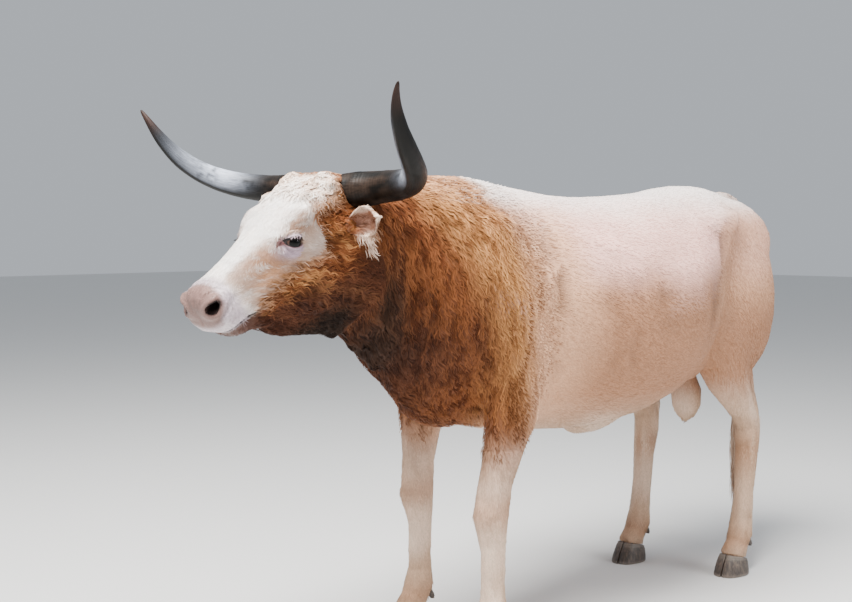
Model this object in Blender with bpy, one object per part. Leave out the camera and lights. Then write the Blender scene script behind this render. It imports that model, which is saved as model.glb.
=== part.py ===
"""A life-size Texas longhorn bull, standing, in metres and +Z up. The nose is at -Y, the left side at +X.

The flesh is modelled whole from lofted slices and rounded muscles, fused and smoothed, and then parted
with thin cuts into head, neck, torso, tail and legs. Horns, ears, eyes and hooves are solids of their own.
"""

import math
import random

import bmesh
import bpy
import numpy as np
from mathutils import Matrix, Vector
from mathutils.bvhtree import BVHTree

# Driving dimensions
GAP = 0.0003  # what stays open between two pieces that touch
POLL = Vector((0, -1.07, 1.416))  # top of the head, between the horns
HEAD_DROP = math.radians(36)  # how far the nose line points below level
EYE_CENTRE = (0.241, -0.061, 0.0915)  # along the nose line, over it, across
EYE_RADIUS = 0.0235
EYE_TURN = math.radians(32)  # how far the eye looks forwards of square to the side
SLIT_LENGTH = 0.046
SLIT_HEIGHT = 0.021
HORN_ROOT = 0.082  # distance of the horn's buried end from the middle of the head
HORN_RINGS = 22
HORN_SIDES = 14
EAR_ROOT = (0.100, -0.125, 0.112)
EAR_RUN = Vector((0.96, -0.02, 0.20)).normalized()
EAR_LENGTH = 0.165
EAR_WIDTH = 0.082
EAR_THICKNESS = 0.005
CORONET_HEIGHT = 0.066  # height of the hoof's upper edge under the middle of the leg
CORONET_TILT = math.radians(14)  # the upper edge of the hoof falls towards the heel
LOCK_SEED = 41
VOXEL = 0.0055
FLESH_TRIANGLES = 5700

# Colours, linear
SAND = (0.62, 0.40, 0.25, 1)
RUSSET = (0.30, 0.115, 0.045, 1)
CREAM = (0.78, 0.66, 0.55, 1)
HORN_GREY = (0.12, 0.095, 0.08, 1)
HOOF_GREY = (0.07, 0.055, 0.045, 1)
EYE_DARK = (0.012, 0.010, 0.010, 1)


def clear_scene():
    for obj in list(bpy.data.objects):
        bpy.data.objects.remove(obj)


def material(name, colour, roughness):
    made = bpy.data.materials.new(name)
    made.use_nodes = True
    shader = made.node_tree.nodes["Principled BSDF"]
    shader.inputs["Base Color"].default_value = colour
    shader.inputs["Roughness"].default_value = roughness
    shader.inputs["Metallic"].default_value = 0
    return made


def new_object(name, mesh):
    obj = bpy.data.objects.new(name, mesh)
    bpy.context.scene.collection.objects.link(obj)
    return obj


def loft(name, rings):
    """A closed tube through rings of the same number of points, with a pole at each end."""
    made = bmesh.new()
    rows = [[made.verts.new(point) for point in ring] for ring in rings]
    sides = len(rows[0])
    for here, there in zip(rows, rows[1:]):
        for i in range(sides):
            j = (i + 1) % sides
            made.faces.new((here[i], here[j], there[j], there[i]))
    for row in (rows[0], rows[-1]):
        pole = made.verts.new(sum((v.co for v in row), Vector()) / sides)
        for i in range(sides):
            made.faces.new((row[i], row[(i + 1) % sides], pole))
    bmesh.ops.recalc_face_normals(made, faces=made.faces)
    mesh = bpy.data.meshes.new(name)
    made.to_mesh(mesh)
    made.free()
    return new_object(name, mesh)


def smooth_rows(rows, steps):
    """A Catmull-Rom curve through rows of numbers, with the given number of steps between two rows."""
    rows = np.array(rows, float)
    padded = np.vstack([2 * rows[0] - rows[1], rows, 2 * rows[-1] - rows[-2]])
    found = []
    for i in range(len(rows) - 1):
        a, b, c, d = padded[i : i + 4]
        for t in np.arange(steps) / steps:
            bend = (2 * a - 5 * b + 4 * c - d) * t**2 + (3 * b - a - 3 * c + d) * t**3
            found.append(b + 0.5 * ((c - a) * t + bend))
    found.append(rows[-1])
    return found


def oval(half, top, bottom, belt, crown, keel, sides=28):
    """Points (across, up) of a slice. half is its half width at the height belt; crown and keel say how
    square the upper and lower halves are: 2 is an ellipse, more is squarer, less is more pointed."""
    points = []
    for i in range(sides):
        turn = 2 * math.pi * i / sides
        c, s = math.cos(turn), math.sin(turn)
        power = 2 / (crown if s > 0 else keel)
        reach = top - belt if s > 0 else belt - bottom
        out, up = math.copysign(abs(c) ** power, c), math.copysign(abs(s) ** power, s)
        points.append((half * out, belt + reach * up))
    return points


def body_loft(name, slices, steps=3):
    """slices: y, top, bottom, half width, belt height, crown, keel, from the rear to the front."""
    rings = []
    for y, top, bottom, half, belt, crown, keel in smooth_rows(slices, steps):
        rings.append([Vector((x, y, z)) for x, z in oval(half, top, bottom, belt, crown, keel)])
    return loft(name, rings)


def head_point(along, over, across=0.0):
    """A point of the head: along the nose line from the poll, over it, and across to the left."""
    forward = Vector((0, -math.cos(HEAD_DROP), -math.sin(HEAD_DROP)))
    dorsal = Vector((0, -math.sin(HEAD_DROP), math.cos(HEAD_DROP)))
    return POLL + forward * along + dorsal * over + Vector((across, 0, 0))


def head_loft(name, slices, steps=3):
    """slices: distance along the nose line, top, bottom, half width, belt, crown, keel."""
    rings = []
    for along, top, bottom, half, belt, crown, keel in smooth_rows(slices, steps):
        rings.append([head_point(along, z, x) for x, z in oval(half, top, bottom, belt, crown, keel)])
    return loft(name, rings)


def limb(name, stations, sides=16, steps=3):
    """A leg or a tail: stations of x, y, z, half width and half depth, each ring square to the path."""
    rows = smooth_rows(stations, steps)
    rings = []
    for i, row in enumerate(rows):
        before, after = rows[max(i - 1, 0)][:3], rows[min(i + 1, len(rows) - 1)][:3]
        run = Vector(after - before).normalized()
        across = Vector((1, 0, 0))
        deep = run.cross(across).normalized()
        ring = []
        for k in range(sides):
            turn = 2 * math.pi * k / sides
            ring.append(Vector(row[:3]) + across * row[3] * math.cos(turn) + deep * row[4] * math.sin(turn))
        rings.append(ring)
    return loft(name, rings)


def lump(name, centre, radii, turn=(0, 0, 0), facets=(24, 14)):
    """A muscle or a bone's knob: an ellipsoid, turned by degrees about X, Y and Z."""
    bpy.ops.mesh.primitive_uv_sphere_add(segments=facets[0], ring_count=facets[1], radius=1)
    obj = bpy.context.object
    obj.name = name
    spin = Matrix.Identity(4)
    for angle, axis in zip(turn, "XYZ"):
        spin = Matrix.Rotation(math.radians(angle), 4, axis) @ spin
    obj.data.transform(Matrix.Translation(Vector(centre)) @ spin @ Matrix.Diagonal((*radii, 1)))
    return obj


def head_lump(name, along, over, across, radii, turn=0):
    """An ellipsoid on the head; its radii run across, along the nose line and over it."""
    return lump(name, head_point(along, over, across), radii, (math.degrees(HEAD_DROP) + turn, 0, 0))


def mirrored(obj, name):
    """A copy on the other side of the body."""
    mesh = obj.data.copy()
    mesh.transform(Matrix.Diagonal((-1, 1, 1, 1)))
    mesh.flip_normals()
    return new_object(name, mesh)


def both_sides(obj):
    return [obj, mirrored(obj, obj.name + "_right")]


# Slices of the trunk and neck: y, top, bottom, half width, belt height, crown, keel
TRUNK = (
    (1.105, 1.235, 1.02, 0.060, 1.13, 2.0, 2.0),  # behind the pin bones
    (1.05, 1.315, 0.90, 0.130, 1.13, 1.9, 2.0),  # pin bones
    (0.94, 1.385, 0.82, 0.195, 1.14, 1.9, 2.0),  # tail head
    (0.80, 1.412, 0.780, 0.228, 1.16, 2.1, 2.0),  # sacrum
    (0.66, 1.418, 0.745, 0.246, 1.15, 2.5, 2.0),  # hook bones
    (0.50, 1.395, 0.690, 0.312, 1.03, 2.2, 2.0),  # flank
    (0.32, 1.378, 0.635, 0.376, 0.99, 2.1, 2.0),  # rear of the barrel
    (0.10, 1.366, 0.605, 0.388, 0.97, 2.0, 2.0),  # barrel
    (-0.12, 1.371, 0.610, 0.362, 0.98, 1.95, 2.0),  # ribs
    (-0.33, 1.396, 0.635, 0.300, 1.00, 1.8, 2.0),  # girth
    (-0.50, 1.416, 0.665, 0.270, 1.02, 1.7, 1.9),  # withers
    (-0.66, 1.416, 0.715, 0.248, 1.05, 1.8, 1.8),  # shoulders
    (-0.80, 1.412, 0.820, 0.208, 1.12, 2.0, 1.8),  # base of the neck
    (-0.93, 1.404, 0.945, 0.176, 1.19, 2.1, 1.8),  # neck
    (-1.03, 1.388, 0.995, 0.152, 1.20, 2.1, 1.8),  # throat
    (-1.10, 1.360, 1.030, 0.115, 1.21, 2.0, 2.0),  # inside the head
)
# The fold of skin that hangs from the jaw to the brisket
DEWLAP = (
    (-0.54, 0.85, 0.660, 0.070, 0.78, 2.0, 2.0),
    (-0.66, 0.92, 0.680, 0.085, 0.80, 2.0, 2.0),  # brisket
    (-0.76, 1.00, 0.745, 0.066, 0.87, 2.0, 1.8),
    (-0.83, 1.06, 0.855, 0.046, 0.96, 2.0, 1.7),
    (-0.90, 1.10, 0.925, 0.040, 1.02, 2.0, 1.7),
    (-1.00, 1.12, 0.962, 0.042, 1.04, 2.0, 1.7),
    (-1.10, 1.12, 0.975, 0.042, 1.04, 2.0, 1.7),  # throat
    (-1.19, 1.08, 0.975, 0.034, 1.03, 2.0, 1.8),
    (-1.25, 1.06, 0.988, 0.026, 1.03, 2.0, 2.0),
    (-1.28, 1.06, 1.010, 0.014, 1.03, 2.0, 2.0),  # under the jaw
)

# Slices of the head: along the nose line, top, bottom, half width, belt, crown, keel
SKULL = (
    (-0.040, -0.045, -0.150, 0.075, -0.09, 2.2, 2.0),  # nape
    (-0.008, -0.006, -0.190, 0.112, -0.08, 2.3, 2.0),  # poll
    (0.070, 0.009, -0.220, 0.118, -0.07, 2.7, 2.0),  # forehead
    (0.150, 0.012, -0.240, 0.114, -0.07, 2.8, 2.0),  # brow
    (0.220, 0.005, -0.240, 0.100, -0.08, 2.8, 2.0),  # eyes
    (0.290, -0.006, -0.220, 0.082, -0.09, 2.5, 2.1),  # root of the nose
    (0.370, -0.011, -0.190, 0.066, -0.09, 2.4, 2.2),  # bridge
    (0.430, -0.013, -0.156, 0.062, -0.09, 2.5, 2.6),  # nose
    (0.475, -0.016, -0.150, 0.073, -0.088, 2.7, 2.8),  # muzzle
    (0.506, -0.023, -0.145, 0.079, -0.088, 2.8, 2.8),  # nostrils
    (0.524, -0.036, -0.136, 0.070, -0.088, 2.8, 2.8),
    (0.534, -0.054, -0.118, 0.048, -0.088, 2.4, 2.4),  # tip
)
JAW = (
    (0.070, -0.100, -0.240, 0.060, -0.17, 2.0, 2.0),
    (0.130, -0.100, -0.312, 0.084, -0.20, 2.2, 2.2),  # corner of the jaw
    (0.220, -0.100, -0.324, 0.084, -0.20, 2.2, 2.0),
    (0.300, -0.080, -0.290, 0.074, -0.17, 2.2, 2.0),
    (0.370, -0.080, -0.246, 0.061, -0.15, 2.2, 2.0),
    (0.430, -0.090, -0.204, 0.055, -0.14, 2.4, 2.6),
    (0.468, -0.110, -0.187, 0.053, -0.15, 2.6, 2.8),  # chin
    (0.490, -0.120, -0.178, 0.046, -0.15, 2.6, 2.8),
    (0.503, -0.132, -0.164, 0.030, -0.15, 2.2, 2.2),
)


def trunk_forms():
    forms = [
        body_loft("trunk", TRUNK),
        body_loft("dewlap", DEWLAP),
        lump("crest", (0, -0.76, 1.352), (0.090, 0.30, 0.062), (-2, 0, 0)),
        lump("sheath", (0, 0.20, 0.622), (0.038, 0.19, 0.052), (6, 0, 0)),
    ]
    sided = (
        ("blade", (0.140, -0.50, 1.09), (0.092, 0.140, 0.230), (18, 10, 0)),
        ("upper_arm", (0.180, -0.49, 0.92), (0.092, 0.170, 0.150), (-15, 0, 0)),
        ("shoulder_point", (0.165, -0.665, 0.985), (0.085, 0.090, 0.135), (10, 0, 0)),
        ("neck_muscle", (0.098, -0.88, 1.18), (0.085, 0.27, 0.13), (-12, 0, -14)),
        ("hook", (0.222, 0.650, 1.284), (0.048, 0.070, 0.048), (0, 0, 0)),
        ("loin", (0.100, 0.42, 1.302), (0.105, 0.34, 0.070), (-3, 8, 0)),
        ("rump", (0.130, 0.82, 1.230), (0.115, 0.22, 0.140), (-14, 0, -8)),
        ("thigh", (0.165, 0.84, 1.010), (0.105, 0.205, 0.290), (6, 0, 0)),
        ("stifle", (0.190, 0.650, 0.870), (0.074, 0.110, 0.165), (18, 0, 0)),
        ("pin", (0.104, 1.040, 1.232), (0.046, 0.062, 0.048), (0, 0, 0)),
        ("buttock", (0.112, 1.000, 1.050), (0.078, 0.100, 0.230), (-6, 0, 0)),
        ("flank_fold", (0.180, 0.500, 0.825), (0.045, 0.150, 0.090), (25, 0, 0)),
    )
    for name, centre, radii, turn in sided:
        forms += both_sides(lump(name, centre, radii, turn))
    return forms


def head_forms():
    forms = [head_loft("skull", SKULL), head_loft("jaw", JAW)]
    sided = (
        ("cheek", 0.200, -0.195, 0.068, (0.038, 0.110, 0.095), 12),
        ("brow", 0.185, -0.030, 0.084, (0.034, 0.060, 0.034), 0),
        ("orbit", 0.240, -0.060, 0.088, (0.029, 0.042, 0.036), 0),
        ("cheek_bone", 0.300, -0.110, 0.056, (0.026, 0.110, 0.034), 8),
        ("horn_core", 0.046, -0.038, 0.068, (0.052, 0.054, 0.054), 0),
        ("ear_root", 0.100, -0.125, 0.100, (0.042, 0.040, 0.042), 0),
        ("nostril_wing", 0.500, -0.062, 0.051, (0.031, 0.036, 0.034), 0),
        ("lip", 0.462, -0.122, 0.040, (0.032, 0.062, 0.032), 8),
    )
    for name, along, over, across, radii, turn in sided:
        forms += both_sides(head_lump(name, along, over, across, radii, turn))
    return forms


# Legs: x, y from the foot, z, half width, half depth
FORE_LEG = (
    (0.185, 0.060, 0.880, 0.060, 0.105),
    (0.195, 0.065, 0.780, 0.070, 0.108),  # elbow
    (0.197, 0.045, 0.660, 0.060, 0.085),
    (0.194, 0.018, 0.540, 0.047, 0.060),
    (0.192, 0.004, 0.450, 0.050, 0.055),  # knee
    (0.191, 0.006, 0.400, 0.048, 0.052),
    (0.190, 0.013, 0.340, 0.038, 0.042),
    (0.190, 0.014, 0.250, 0.035, 0.039),  # cannon
    (0.190, 0.013, 0.190, 0.038, 0.042),
    (0.190, 0.008, 0.145, 0.046, 0.051),  # fetlock
    (0.190, -0.012, 0.105, 0.042, 0.044),  # pastern
    (0.190, -0.032, 0.070, 0.047, 0.052),
    (0.190, -0.040, 0.030, 0.045, 0.050),
)
HIND_LEG = (
    (0.150, -0.020, 0.980, 0.080, 0.160),
    (0.172, -0.060, 0.870, 0.090, 0.160),
    (0.187, -0.058, 0.770, 0.078, 0.125),  # stifle
    (0.193, -0.012, 0.680, 0.058, 0.088),  # gaskin
    (0.193, 0.045, 0.600, 0.043, 0.060),
    (0.191, 0.076, 0.545, 0.044, 0.058),  # hock
    (0.190, 0.079, 0.490, 0.046, 0.055),
    (0.190, 0.070, 0.420, 0.040, 0.047),
    (0.190, 0.058, 0.300, 0.036, 0.041),  # cannon
    (0.190, 0.045, 0.200, 0.039, 0.042),
    (0.190, 0.036, 0.152, 0.047, 0.051),  # fetlock
    (0.190, 0.012, 0.108, 0.042, 0.044),  # pastern
    (0.190, -0.012, 0.072, 0.047, 0.052),
    (0.190, -0.020, 0.030, 0.045, 0.050),
)
TENDON = (
    (0.190, 0.070, 0.760, 0.030, 0.045),
    (0.191, 0.108, 0.660, 0.020, 0.028),
    (0.191, 0.132, 0.585, 0.021, 0.026),  # point of the hock
    (0.191, 0.116, 0.520, 0.022, 0.030),
    (0.190, 0.090, 0.440, 0.020, 0.028),
)
# Each leg: which end, which side of the body (1 is left), y of its foot when square, and its step from there
LEGS = {
    "fore_left": ("fore", 1, -0.530, -0.045),
    "fore_right": ("fore", -1, -0.530, 0.045),
    "hind_left": ("hind", 1, 0.760, 0.040),
    "hind_right": ("hind", -1, 0.760, -0.060),
}


def stepped(stations, side, square_y, step):
    """The stations of one leg, with its step growing from nothing at the body to the whole at the knee."""
    placed = []
    for x, y, z, wide, deep in stations:
        share = min(max((0.92 - z) / 0.45, 0), 1)
        placed.append((x * side, y + square_y + step * share, z, wide, deep))
    return placed


def leg_forms():
    forms = []
    for name, (end, side, square_y, step) in LEGS.items():
        place = (side, square_y, step)
        if end == "fore":
            forms.append(limb(name, stepped(FORE_LEG, *place)))
            for x, y, z, wide, deep in stepped(((0.192, 0.140, 0.790, 0.040, 0.050),), *place):
                forms.append(lump("elbow_point", (x, y, z), (wide, deep, 0.065)))
            for x, y, z, wide, deep in stepped(((0.192, -0.032, 0.435, 0.036, 0.028),), *place):
                forms.append(lump("knee_cap", (x, y, z), (wide, deep, 0.050)))
        else:
            forms.append(limb(name, stepped(HIND_LEG, *place)))
            forms.append(limb("tendon", stepped(TENDON, *place), 12))
    return forms


TAIL = (
    (0, 0.90, 1.355, 0.045, 0.040),
    (0, 1.00, 1.372, 0.040, 0.036),
    (0, 1.085, 1.345, 0.034, 0.032),
    (0, 1.135, 1.270, 0.029, 0.028),
    (0, 1.155, 1.150, 0.025, 0.024),
    (0, 1.155, 0.950, 0.021, 0.020),
    (0, 1.150, 0.750, 0.017, 0.016),
    (0, 1.148, 0.640, 0.016, 0.015),
    (0, 1.148, 0.560, 0.024, 0.022),
    (0, 1.149, 0.470, 0.036, 0.032),  # switch
    (0, 1.152, 0.380, 0.034, 0.030),
    (0, 1.155, 0.300, 0.024, 0.021),
    (0, 1.157, 0.235, 0.013, 0.012),
    (0, 1.158, 0.190, 0.005, 0.005),
)


def tail_forms():
    return [
        limb("tail_core", TAIL, 12, 4),
        lump("scrotum_bag", (0, 0.760, 0.640), (0.062, 0.060, 0.095)),
        limb("scrotum_neck", ((0, 0.76, 0.80, 0.040, 0.045), (0, 0.76, 0.70, 0.036, 0.040)), 12),
    ]


def apply_modifiers(obj):
    graph = bpy.context.evaluated_depsgraph_get()
    mesh = bpy.data.meshes.new_from_object(obj.evaluated_get(graph))
    obj.modifiers.clear()
    obj.data = mesh


def join(name, objects):
    """One object that holds the meshes of all of these, which are removed."""
    made = bmesh.new()
    for obj in objects:
        made.from_mesh(obj.data)
        bpy.data.objects.remove(obj)
    mesh = bpy.data.meshes.new(name)
    made.to_mesh(mesh)
    made.free()
    return new_object(name, mesh)


def softness(point):
    """How much a point of the flesh is smoothed: less on the head, tail and lower legs than elsewhere."""
    leg = min(max((point.z - 0.50) / 0.30, 0.12), 1)
    head = min(max((point.y + 1.12) / 0.10, 0.30), 1)
    tail = 0.15 if point.y > 1.115 else 1
    return min(leg, head, tail)


def fineness(point):
    """How readily a point of the flesh gives up its triangles: least on the face."""
    along = (point - POLL).dot(head_point(1, 0) - POLL)
    return 0.90 if along > 0.17 and point.z > 0.95 else 1.0


def whole_flesh():
    """Fuses the forms, smooths where they meet and thins the triangles."""
    flesh = join("flesh", trunk_forms() + head_forms() + leg_forms() + tail_forms())
    fuse = flesh.modifiers.new("fuse", "REMESH")
    fuse.mode = "VOXEL"
    fuse.voxel_size = VOXEL
    apply_modifiers(flesh)
    soft, fine = flesh.vertex_groups.new(name="soft"), flesh.vertex_groups.new(name="fine")
    for vertex in flesh.data.vertices:
        soft.add([vertex.index], softness(vertex.co), "REPLACE")
        fine.add([vertex.index], fineness(vertex.co), "REPLACE")
    ease = flesh.modifiers.new("ease", "SMOOTH")
    ease.factor = 0.5
    ease.iterations = 110
    ease.vertex_group = "soft"
    thin = flesh.modifiers.new("thin", "DECIMATE")
    thin.ratio = FLESH_TRIANGLES / (2 * len(flesh.data.polygons))
    thin.vertex_group = "fine"
    thin.vertex_group_factor = 1.0
    apply_modifiers(flesh)
    return flesh


def surface_of(obj):
    """The object's surface, to be searched for the point nearest to another or hit by a ray."""
    return BVHTree.FromPolygons([v.co for v in obj.data.vertices], [p.vertices for p in obj.data.polygons])


def lay_lock(surface, start, lie, length, width, thick, turn=0.0, wave=0.0, lift=0.0):
    """A flat tapered lock of hair that follows the surface from a point, rooted below it.

    turn bends it evenly to one side over its length, wave bends it to and fro, lift raises its tip."""
    steps = 5
    place, heading = start, lie
    rings = []
    for i in range(steps):
        t = i / (steps - 1)
        near, normal = surface.find_nearest(place)[:2]
        heading = (heading - normal * heading.dot(normal)).normalized()
        side = normal.cross(heading)
        taper = min(0.55 + 1.5 * t, 1) * (1 - t**2.2) + 0.10
        half, high = width / 2 * taper, thick / 2 * taper
        centre = near + normal * (thick * (-0.55 + 1.9 * t * (1 - t) + 0.35 * t) + lift * t * t)
        low = centre - normal * (high * 0.6 + 0.003 * (1 - t))
        rings.append([low + side * half, centre + normal * high, low - side * half])
        spin = turn / steps + wave * math.cos(2 * math.pi * t * 1.2)
        heading = Matrix.Rotation(spin, 3, normal) @ heading
        place = near + heading * (length / (steps - 1))
    return loft("lock", rings)


def coat_locks(flesh):
    """Curls of the poll, waves of the neck, the fringe of the dewlap and the tail's switch."""
    surface = surface_of(flesh)
    chance = random.Random(LOCK_SEED)
    locks = []

    def drift(value, reach):
        return value + chance.uniform(-reach, reach)

    def grow(origin, towards, lie, *shape):
        hit = surface.ray_cast(origin, towards)[0]
        if hit is not None:
            locks.append(lay_lock(surface, hit, lie, *shape))

    dorsal = head_point(0, 1) - head_point(0, 0)
    forward = head_point(1, 0) - head_point(0, 0)
    for row in range(3):
        for column in range(4):
            across = drift((column - 1.5 + 0.4 * (row % 2) - 0.2) * 0.052, 0.005)
            above = head_point(drift(0.002 + 0.046 * row, 0.005), 0.2, across)
            lie = forward + Vector((drift(across * 7, 0.5), 0, 0))
            curl = chance.choice((-1, 1)) * chance.uniform(1.0, 2.0)
            grow(above, -dorsal, lie, drift(0.080, 0.008), 0.042, 0.019, curl)
    for side in (1, -1):
        sideways = Vector((side, 0, 0))
        for row in range(4):
            for column in range(3):
                y = drift(-0.945 + 0.088 * column - 0.014 * row, 0.012)
                z = drift(1.345 - 0.098 * row - 0.049 * (column % 2), 0.010)
                wave = (drift(0.150, 0.02), 0.056, 0.019, drift(0, 0.3), 0.42)
                grow(Vector((side, y, z)), -sideways, Vector((0, 0.36, -1)), *wave)
    for k in range(6):
        below = Vector((0, -1.06 + 0.056 * k, 0.5))
        lie = Vector((drift(0, 0.3), 1, 0))
        grow(below, Vector((0, 0, 1)), lie, 0.085, 0.032, 0.020, drift(0, 0.3), 0.2, 0.010)
    for ring in range(3):
        for k in range(4):
            turn = 2 * math.pi * (k + 0.5 * ring) / 4
            around = Vector((math.cos(turn), math.sin(turn), 0))
            root = Vector((0, 1.15, 0.565 - 0.085 * ring)) + around
            lie = Vector((drift(0, 0.15), drift(0, 0.15), -1))
            size = (drift(0.155, 0.015), drift(0.042, 0.004), 0.020)
            grow(root, -around, lie, *size, drift(0, 0.4), 0.12, 0.006)
    return locks


def subtract(obj, cutters):
    """Takes each cutter away from the object and removes it."""
    for cutter in cutters:
        cutter.hide_render = True
        cutter.display_type = "WIRE"
        step = obj.modifiers.new("cut", "BOOLEAN")
        step.operation = "DIFFERENCE"
        step.solver = "MANIFOLD"
        step.object = cutter
        apply_modifiers(obj)
        bpy.data.objects.remove(cutter)


def unite(obj, others):
    """Fuses the other meshes into the object in one step and removes them."""
    group = bpy.data.collections.new("fused")
    for other in others:
        group.objects.link(other)
    step = obj.modifiers.new("fuse", "BOOLEAN")
    step.operation = "UNION"
    step.solver = "MANIFOLD"
    step.operand_type = "COLLECTION"
    step.collection = group
    apply_modifiers(obj)
    for other in others:
        bpy.data.objects.remove(other)
    bpy.data.collections.remove(group)


def keep_largest(obj):
    """Leaves only the biggest closed surface of a piece."""
    made = bmesh.new()
    made.from_mesh(obj.data)
    surfaces, seen = [], set()
    for start in made.faces:
        if start in seen:
            continue
        seen.add(start)
        surface, edge = [], [start]
        while edge:
            face = edge.pop()
            surface.append(face)
            for neighbour in {f for e in face.edges for f in e.link_faces}:
                if neighbour not in seen:
                    seen.add(neighbour)
                    edge.append(neighbour)
        surfaces.append(surface)
    surfaces.sort(key=lambda faces: sum(f.calc_area() for f in faces))
    for surface in surfaces[:-1]:
        bmesh.ops.delete(made, geom=surface, context="FACES")
    made.to_mesh(obj.data)
    made.free()


def box_between(name, centre, run, across, size):
    """A box whose size is given along run, along across, and square to both."""
    run = Vector(run).normalized()
    side = Vector(across)
    side = (side - run * side.dot(run)).normalized()
    third = run.cross(side)
    turn = Matrix((run, side, third)).transposed().to_4x4()
    bpy.ops.mesh.primitive_cube_add(size=1)
    obj = bpy.context.object
    obj.name = name
    obj.data.transform(Matrix.Translation(Vector(centre)) @ turn @ Matrix.Diagonal((*size, 1)))
    return obj


# Thin cuts that part the flesh: a point, the direction through the cut, a direction in it, and its size
CUTS = (
    ((0, -1.012, 1.19), (0, 1, -0.175), (1, 0, 0), (0.50, 0.60)),  # head from neck
    ((0, -0.735, 1.06), (0, 1, -0.24), (1, 0, 0), (0.80, 0.84)),  # neck from torso
    ((0, 1.160, 1.19), (0, 0, 1), (1, 0, 0), (0.10, 0.10)),  # tail from rump
    ((0, 1.155, 0.92), (0, 0, 1), (1, 0, 0), (0.10, 0.10)),  # middle of the tail
    ((0, 1.150, 0.615), (0, 0, 1), (1, 0, 0), (0.10, 0.10)),  # switch from tail
    ((0, 0.76, 0.742), (0, 0, 1), (1, 0, 0), (0.13, 0.20)),  # scrotum
)
FORE_CUTS = (
    ((0.205, -0.490, 0.690), (-0.38, 0, 1), (1, 0, 0), (0.26, 0.34)),  # forearm from chest
    ((0.192, -0.526, 0.425), (0, 0, 1), (1, 0, 0), (0.14, 0.20)),  # knee
)
HIND_CUTS = (
    ((0.195, 0.750, 0.745), (-0.25, -0.20, 1), (1, 0, 0), (0.30, 0.52)),  # gaskin from thigh
    ((0.191, 0.865, 0.530), (0, 0.10, 1), (1, 0, 0), (0.14, 0.24)),  # hock
)


def thin_cuts():
    cuts = [box_between("cut", place, through, along, (GAP, *size)) for place, through, along, size in CUTS]
    for end, side, square_y, step in LEGS.values():
        for (x, y, z), (tx, ty, tz), along, size in FORE_CUTS if end == "fore" else HIND_CUTS:
            share = min(max((0.92 - z) / 0.45, 0), 1)
            place = (x * side, y + step * share, z)
            cuts.append(box_between("cut", place, (tx * side, ty, tz), along, (GAP, *size)))
    return cuts


def horn_line():
    """Points along the left horn's middle, out from inside the head."""
    handles = (
        (0.066, 0.022, -0.063),
        (0.320, 0.172, -0.028),
        (0.470, -0.073, -0.082),
        (0.440, -0.172, 0.080),
        (0.512, -0.201, 0.175),
    )
    fine = []
    for t in np.linspace(0, 1, 400):
        weights = [math.comb(4, k) * t**k * (1 - t) ** (4 - k) for k in range(5)]
        point = POLL + sum((Vector(h) * w for h, w in zip(handles, weights)), Vector())
        if point.x > HORN_ROOT:
            fine.append(point)
    return fine


def horn(name, thicker=0.0, count=HORN_RINGS):
    """The left horn; thicker swells it all round and count keeps only its first rings."""
    line = horn_line()
    steps = [0.0] + list(np.cumsum([(b - a).length for a, b in zip(line, line[1:])]))
    length = steps[-1]
    widths = ((0, 0.047), (0.06, 0.0475), (0.14, 0.0435), (0.30, 0.0385), (0.52, 0.0325), (0.72, 0.0255))
    widths += ((0.86, 0.0165), (0.95, 0.0085), (1.0, 0.0030))
    rings = []
    for k in range(count):
        along = k / (HORN_RINGS - 1)
        i = min(int(np.searchsorted(steps, along * length)), len(line) - 2)
        run = (line[i + 1] - line[i]).normalized()
        across = run.cross(Vector((0, 1, 0))).normalized()
        deep = run.cross(across)
        radius = float(np.interp(along, [w[0] for w in widths], [w[1] for w in widths])) + thicker
        centre = line[i] - run * (thicker if k == 0 else 0)
        ring = []
        for j in range(HORN_SIDES):
            turn = 2 * math.pi * j / HORN_SIDES
            ring.append(centre + (across * math.cos(turn) * 1.04 + deep * math.sin(turn) * 0.96) * radius)
        rings.append(ring)
    return loft(name, rings)


def ear_axes():
    """The side the left ear opens to, square to its length, and the direction of its width."""
    opening = Vector((0.05, -1, -0.22))
    opening = (opening - EAR_RUN * opening.dot(EAR_RUN)).normalized()
    return opening, EAR_RUN.cross(opening)


def ear_root(name, thicker=0.0):
    """The root of the left ear, a short oval stalk that stands in the head."""
    root = head_point(*EAR_ROOT)
    opening, side = ear_axes()
    rings = []
    steps = ((-0.022 - thicker, 0.85), (0.0, 1.0), (0.030, 1.0), (0.042, 0.95), (0.044, 0.72), (0.030, 0.50))
    for along, share in steps:
        ring = []
        for k in range(12):
            turn = 2 * math.pi * k / 12
            across = side * math.cos(turn) * (0.0225 * share + thicker)
            deep = opening * (math.sin(turn) * (0.0200 * share + thicker) - 0.012)
            ring.append(root + EAR_RUN * along + across + deep)
        rings.append(ring)
    return loft(name, rings)


def ear_fringe(row_points, run, down):
    """Long hairs of the ear's lower rim, as flat locks that hang past it and thin out to the tip."""
    locks = []
    for i, (rim, inner) in enumerate(row_points):
        into = (inner - rim).normalized()
        lie = (down * (1.0 - 0.12 * i) + run * (0.35 + 0.22 * i)).normalized()
        flat = (run - lie * run.dot(lie)).normalized()
        normal = lie.cross(flat)
        rings = []
        for step in range(5):
            t = step / 4
            centre = rim + into * 0.006 * (1 - t) + lie * 0.040 * t + normal * 0.006 * math.sin(2.5 * t + i)
            half, high = 0.012 * (1 - t**2) + 0.0012, 0.0042 * (1 - 0.7 * t)
            low = centre - normal * high * 0.5
            rings.append([low + flat * half, centre + normal * high, low - flat * half])
        locks.append(loft("lock", rings))
    return locks


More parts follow.
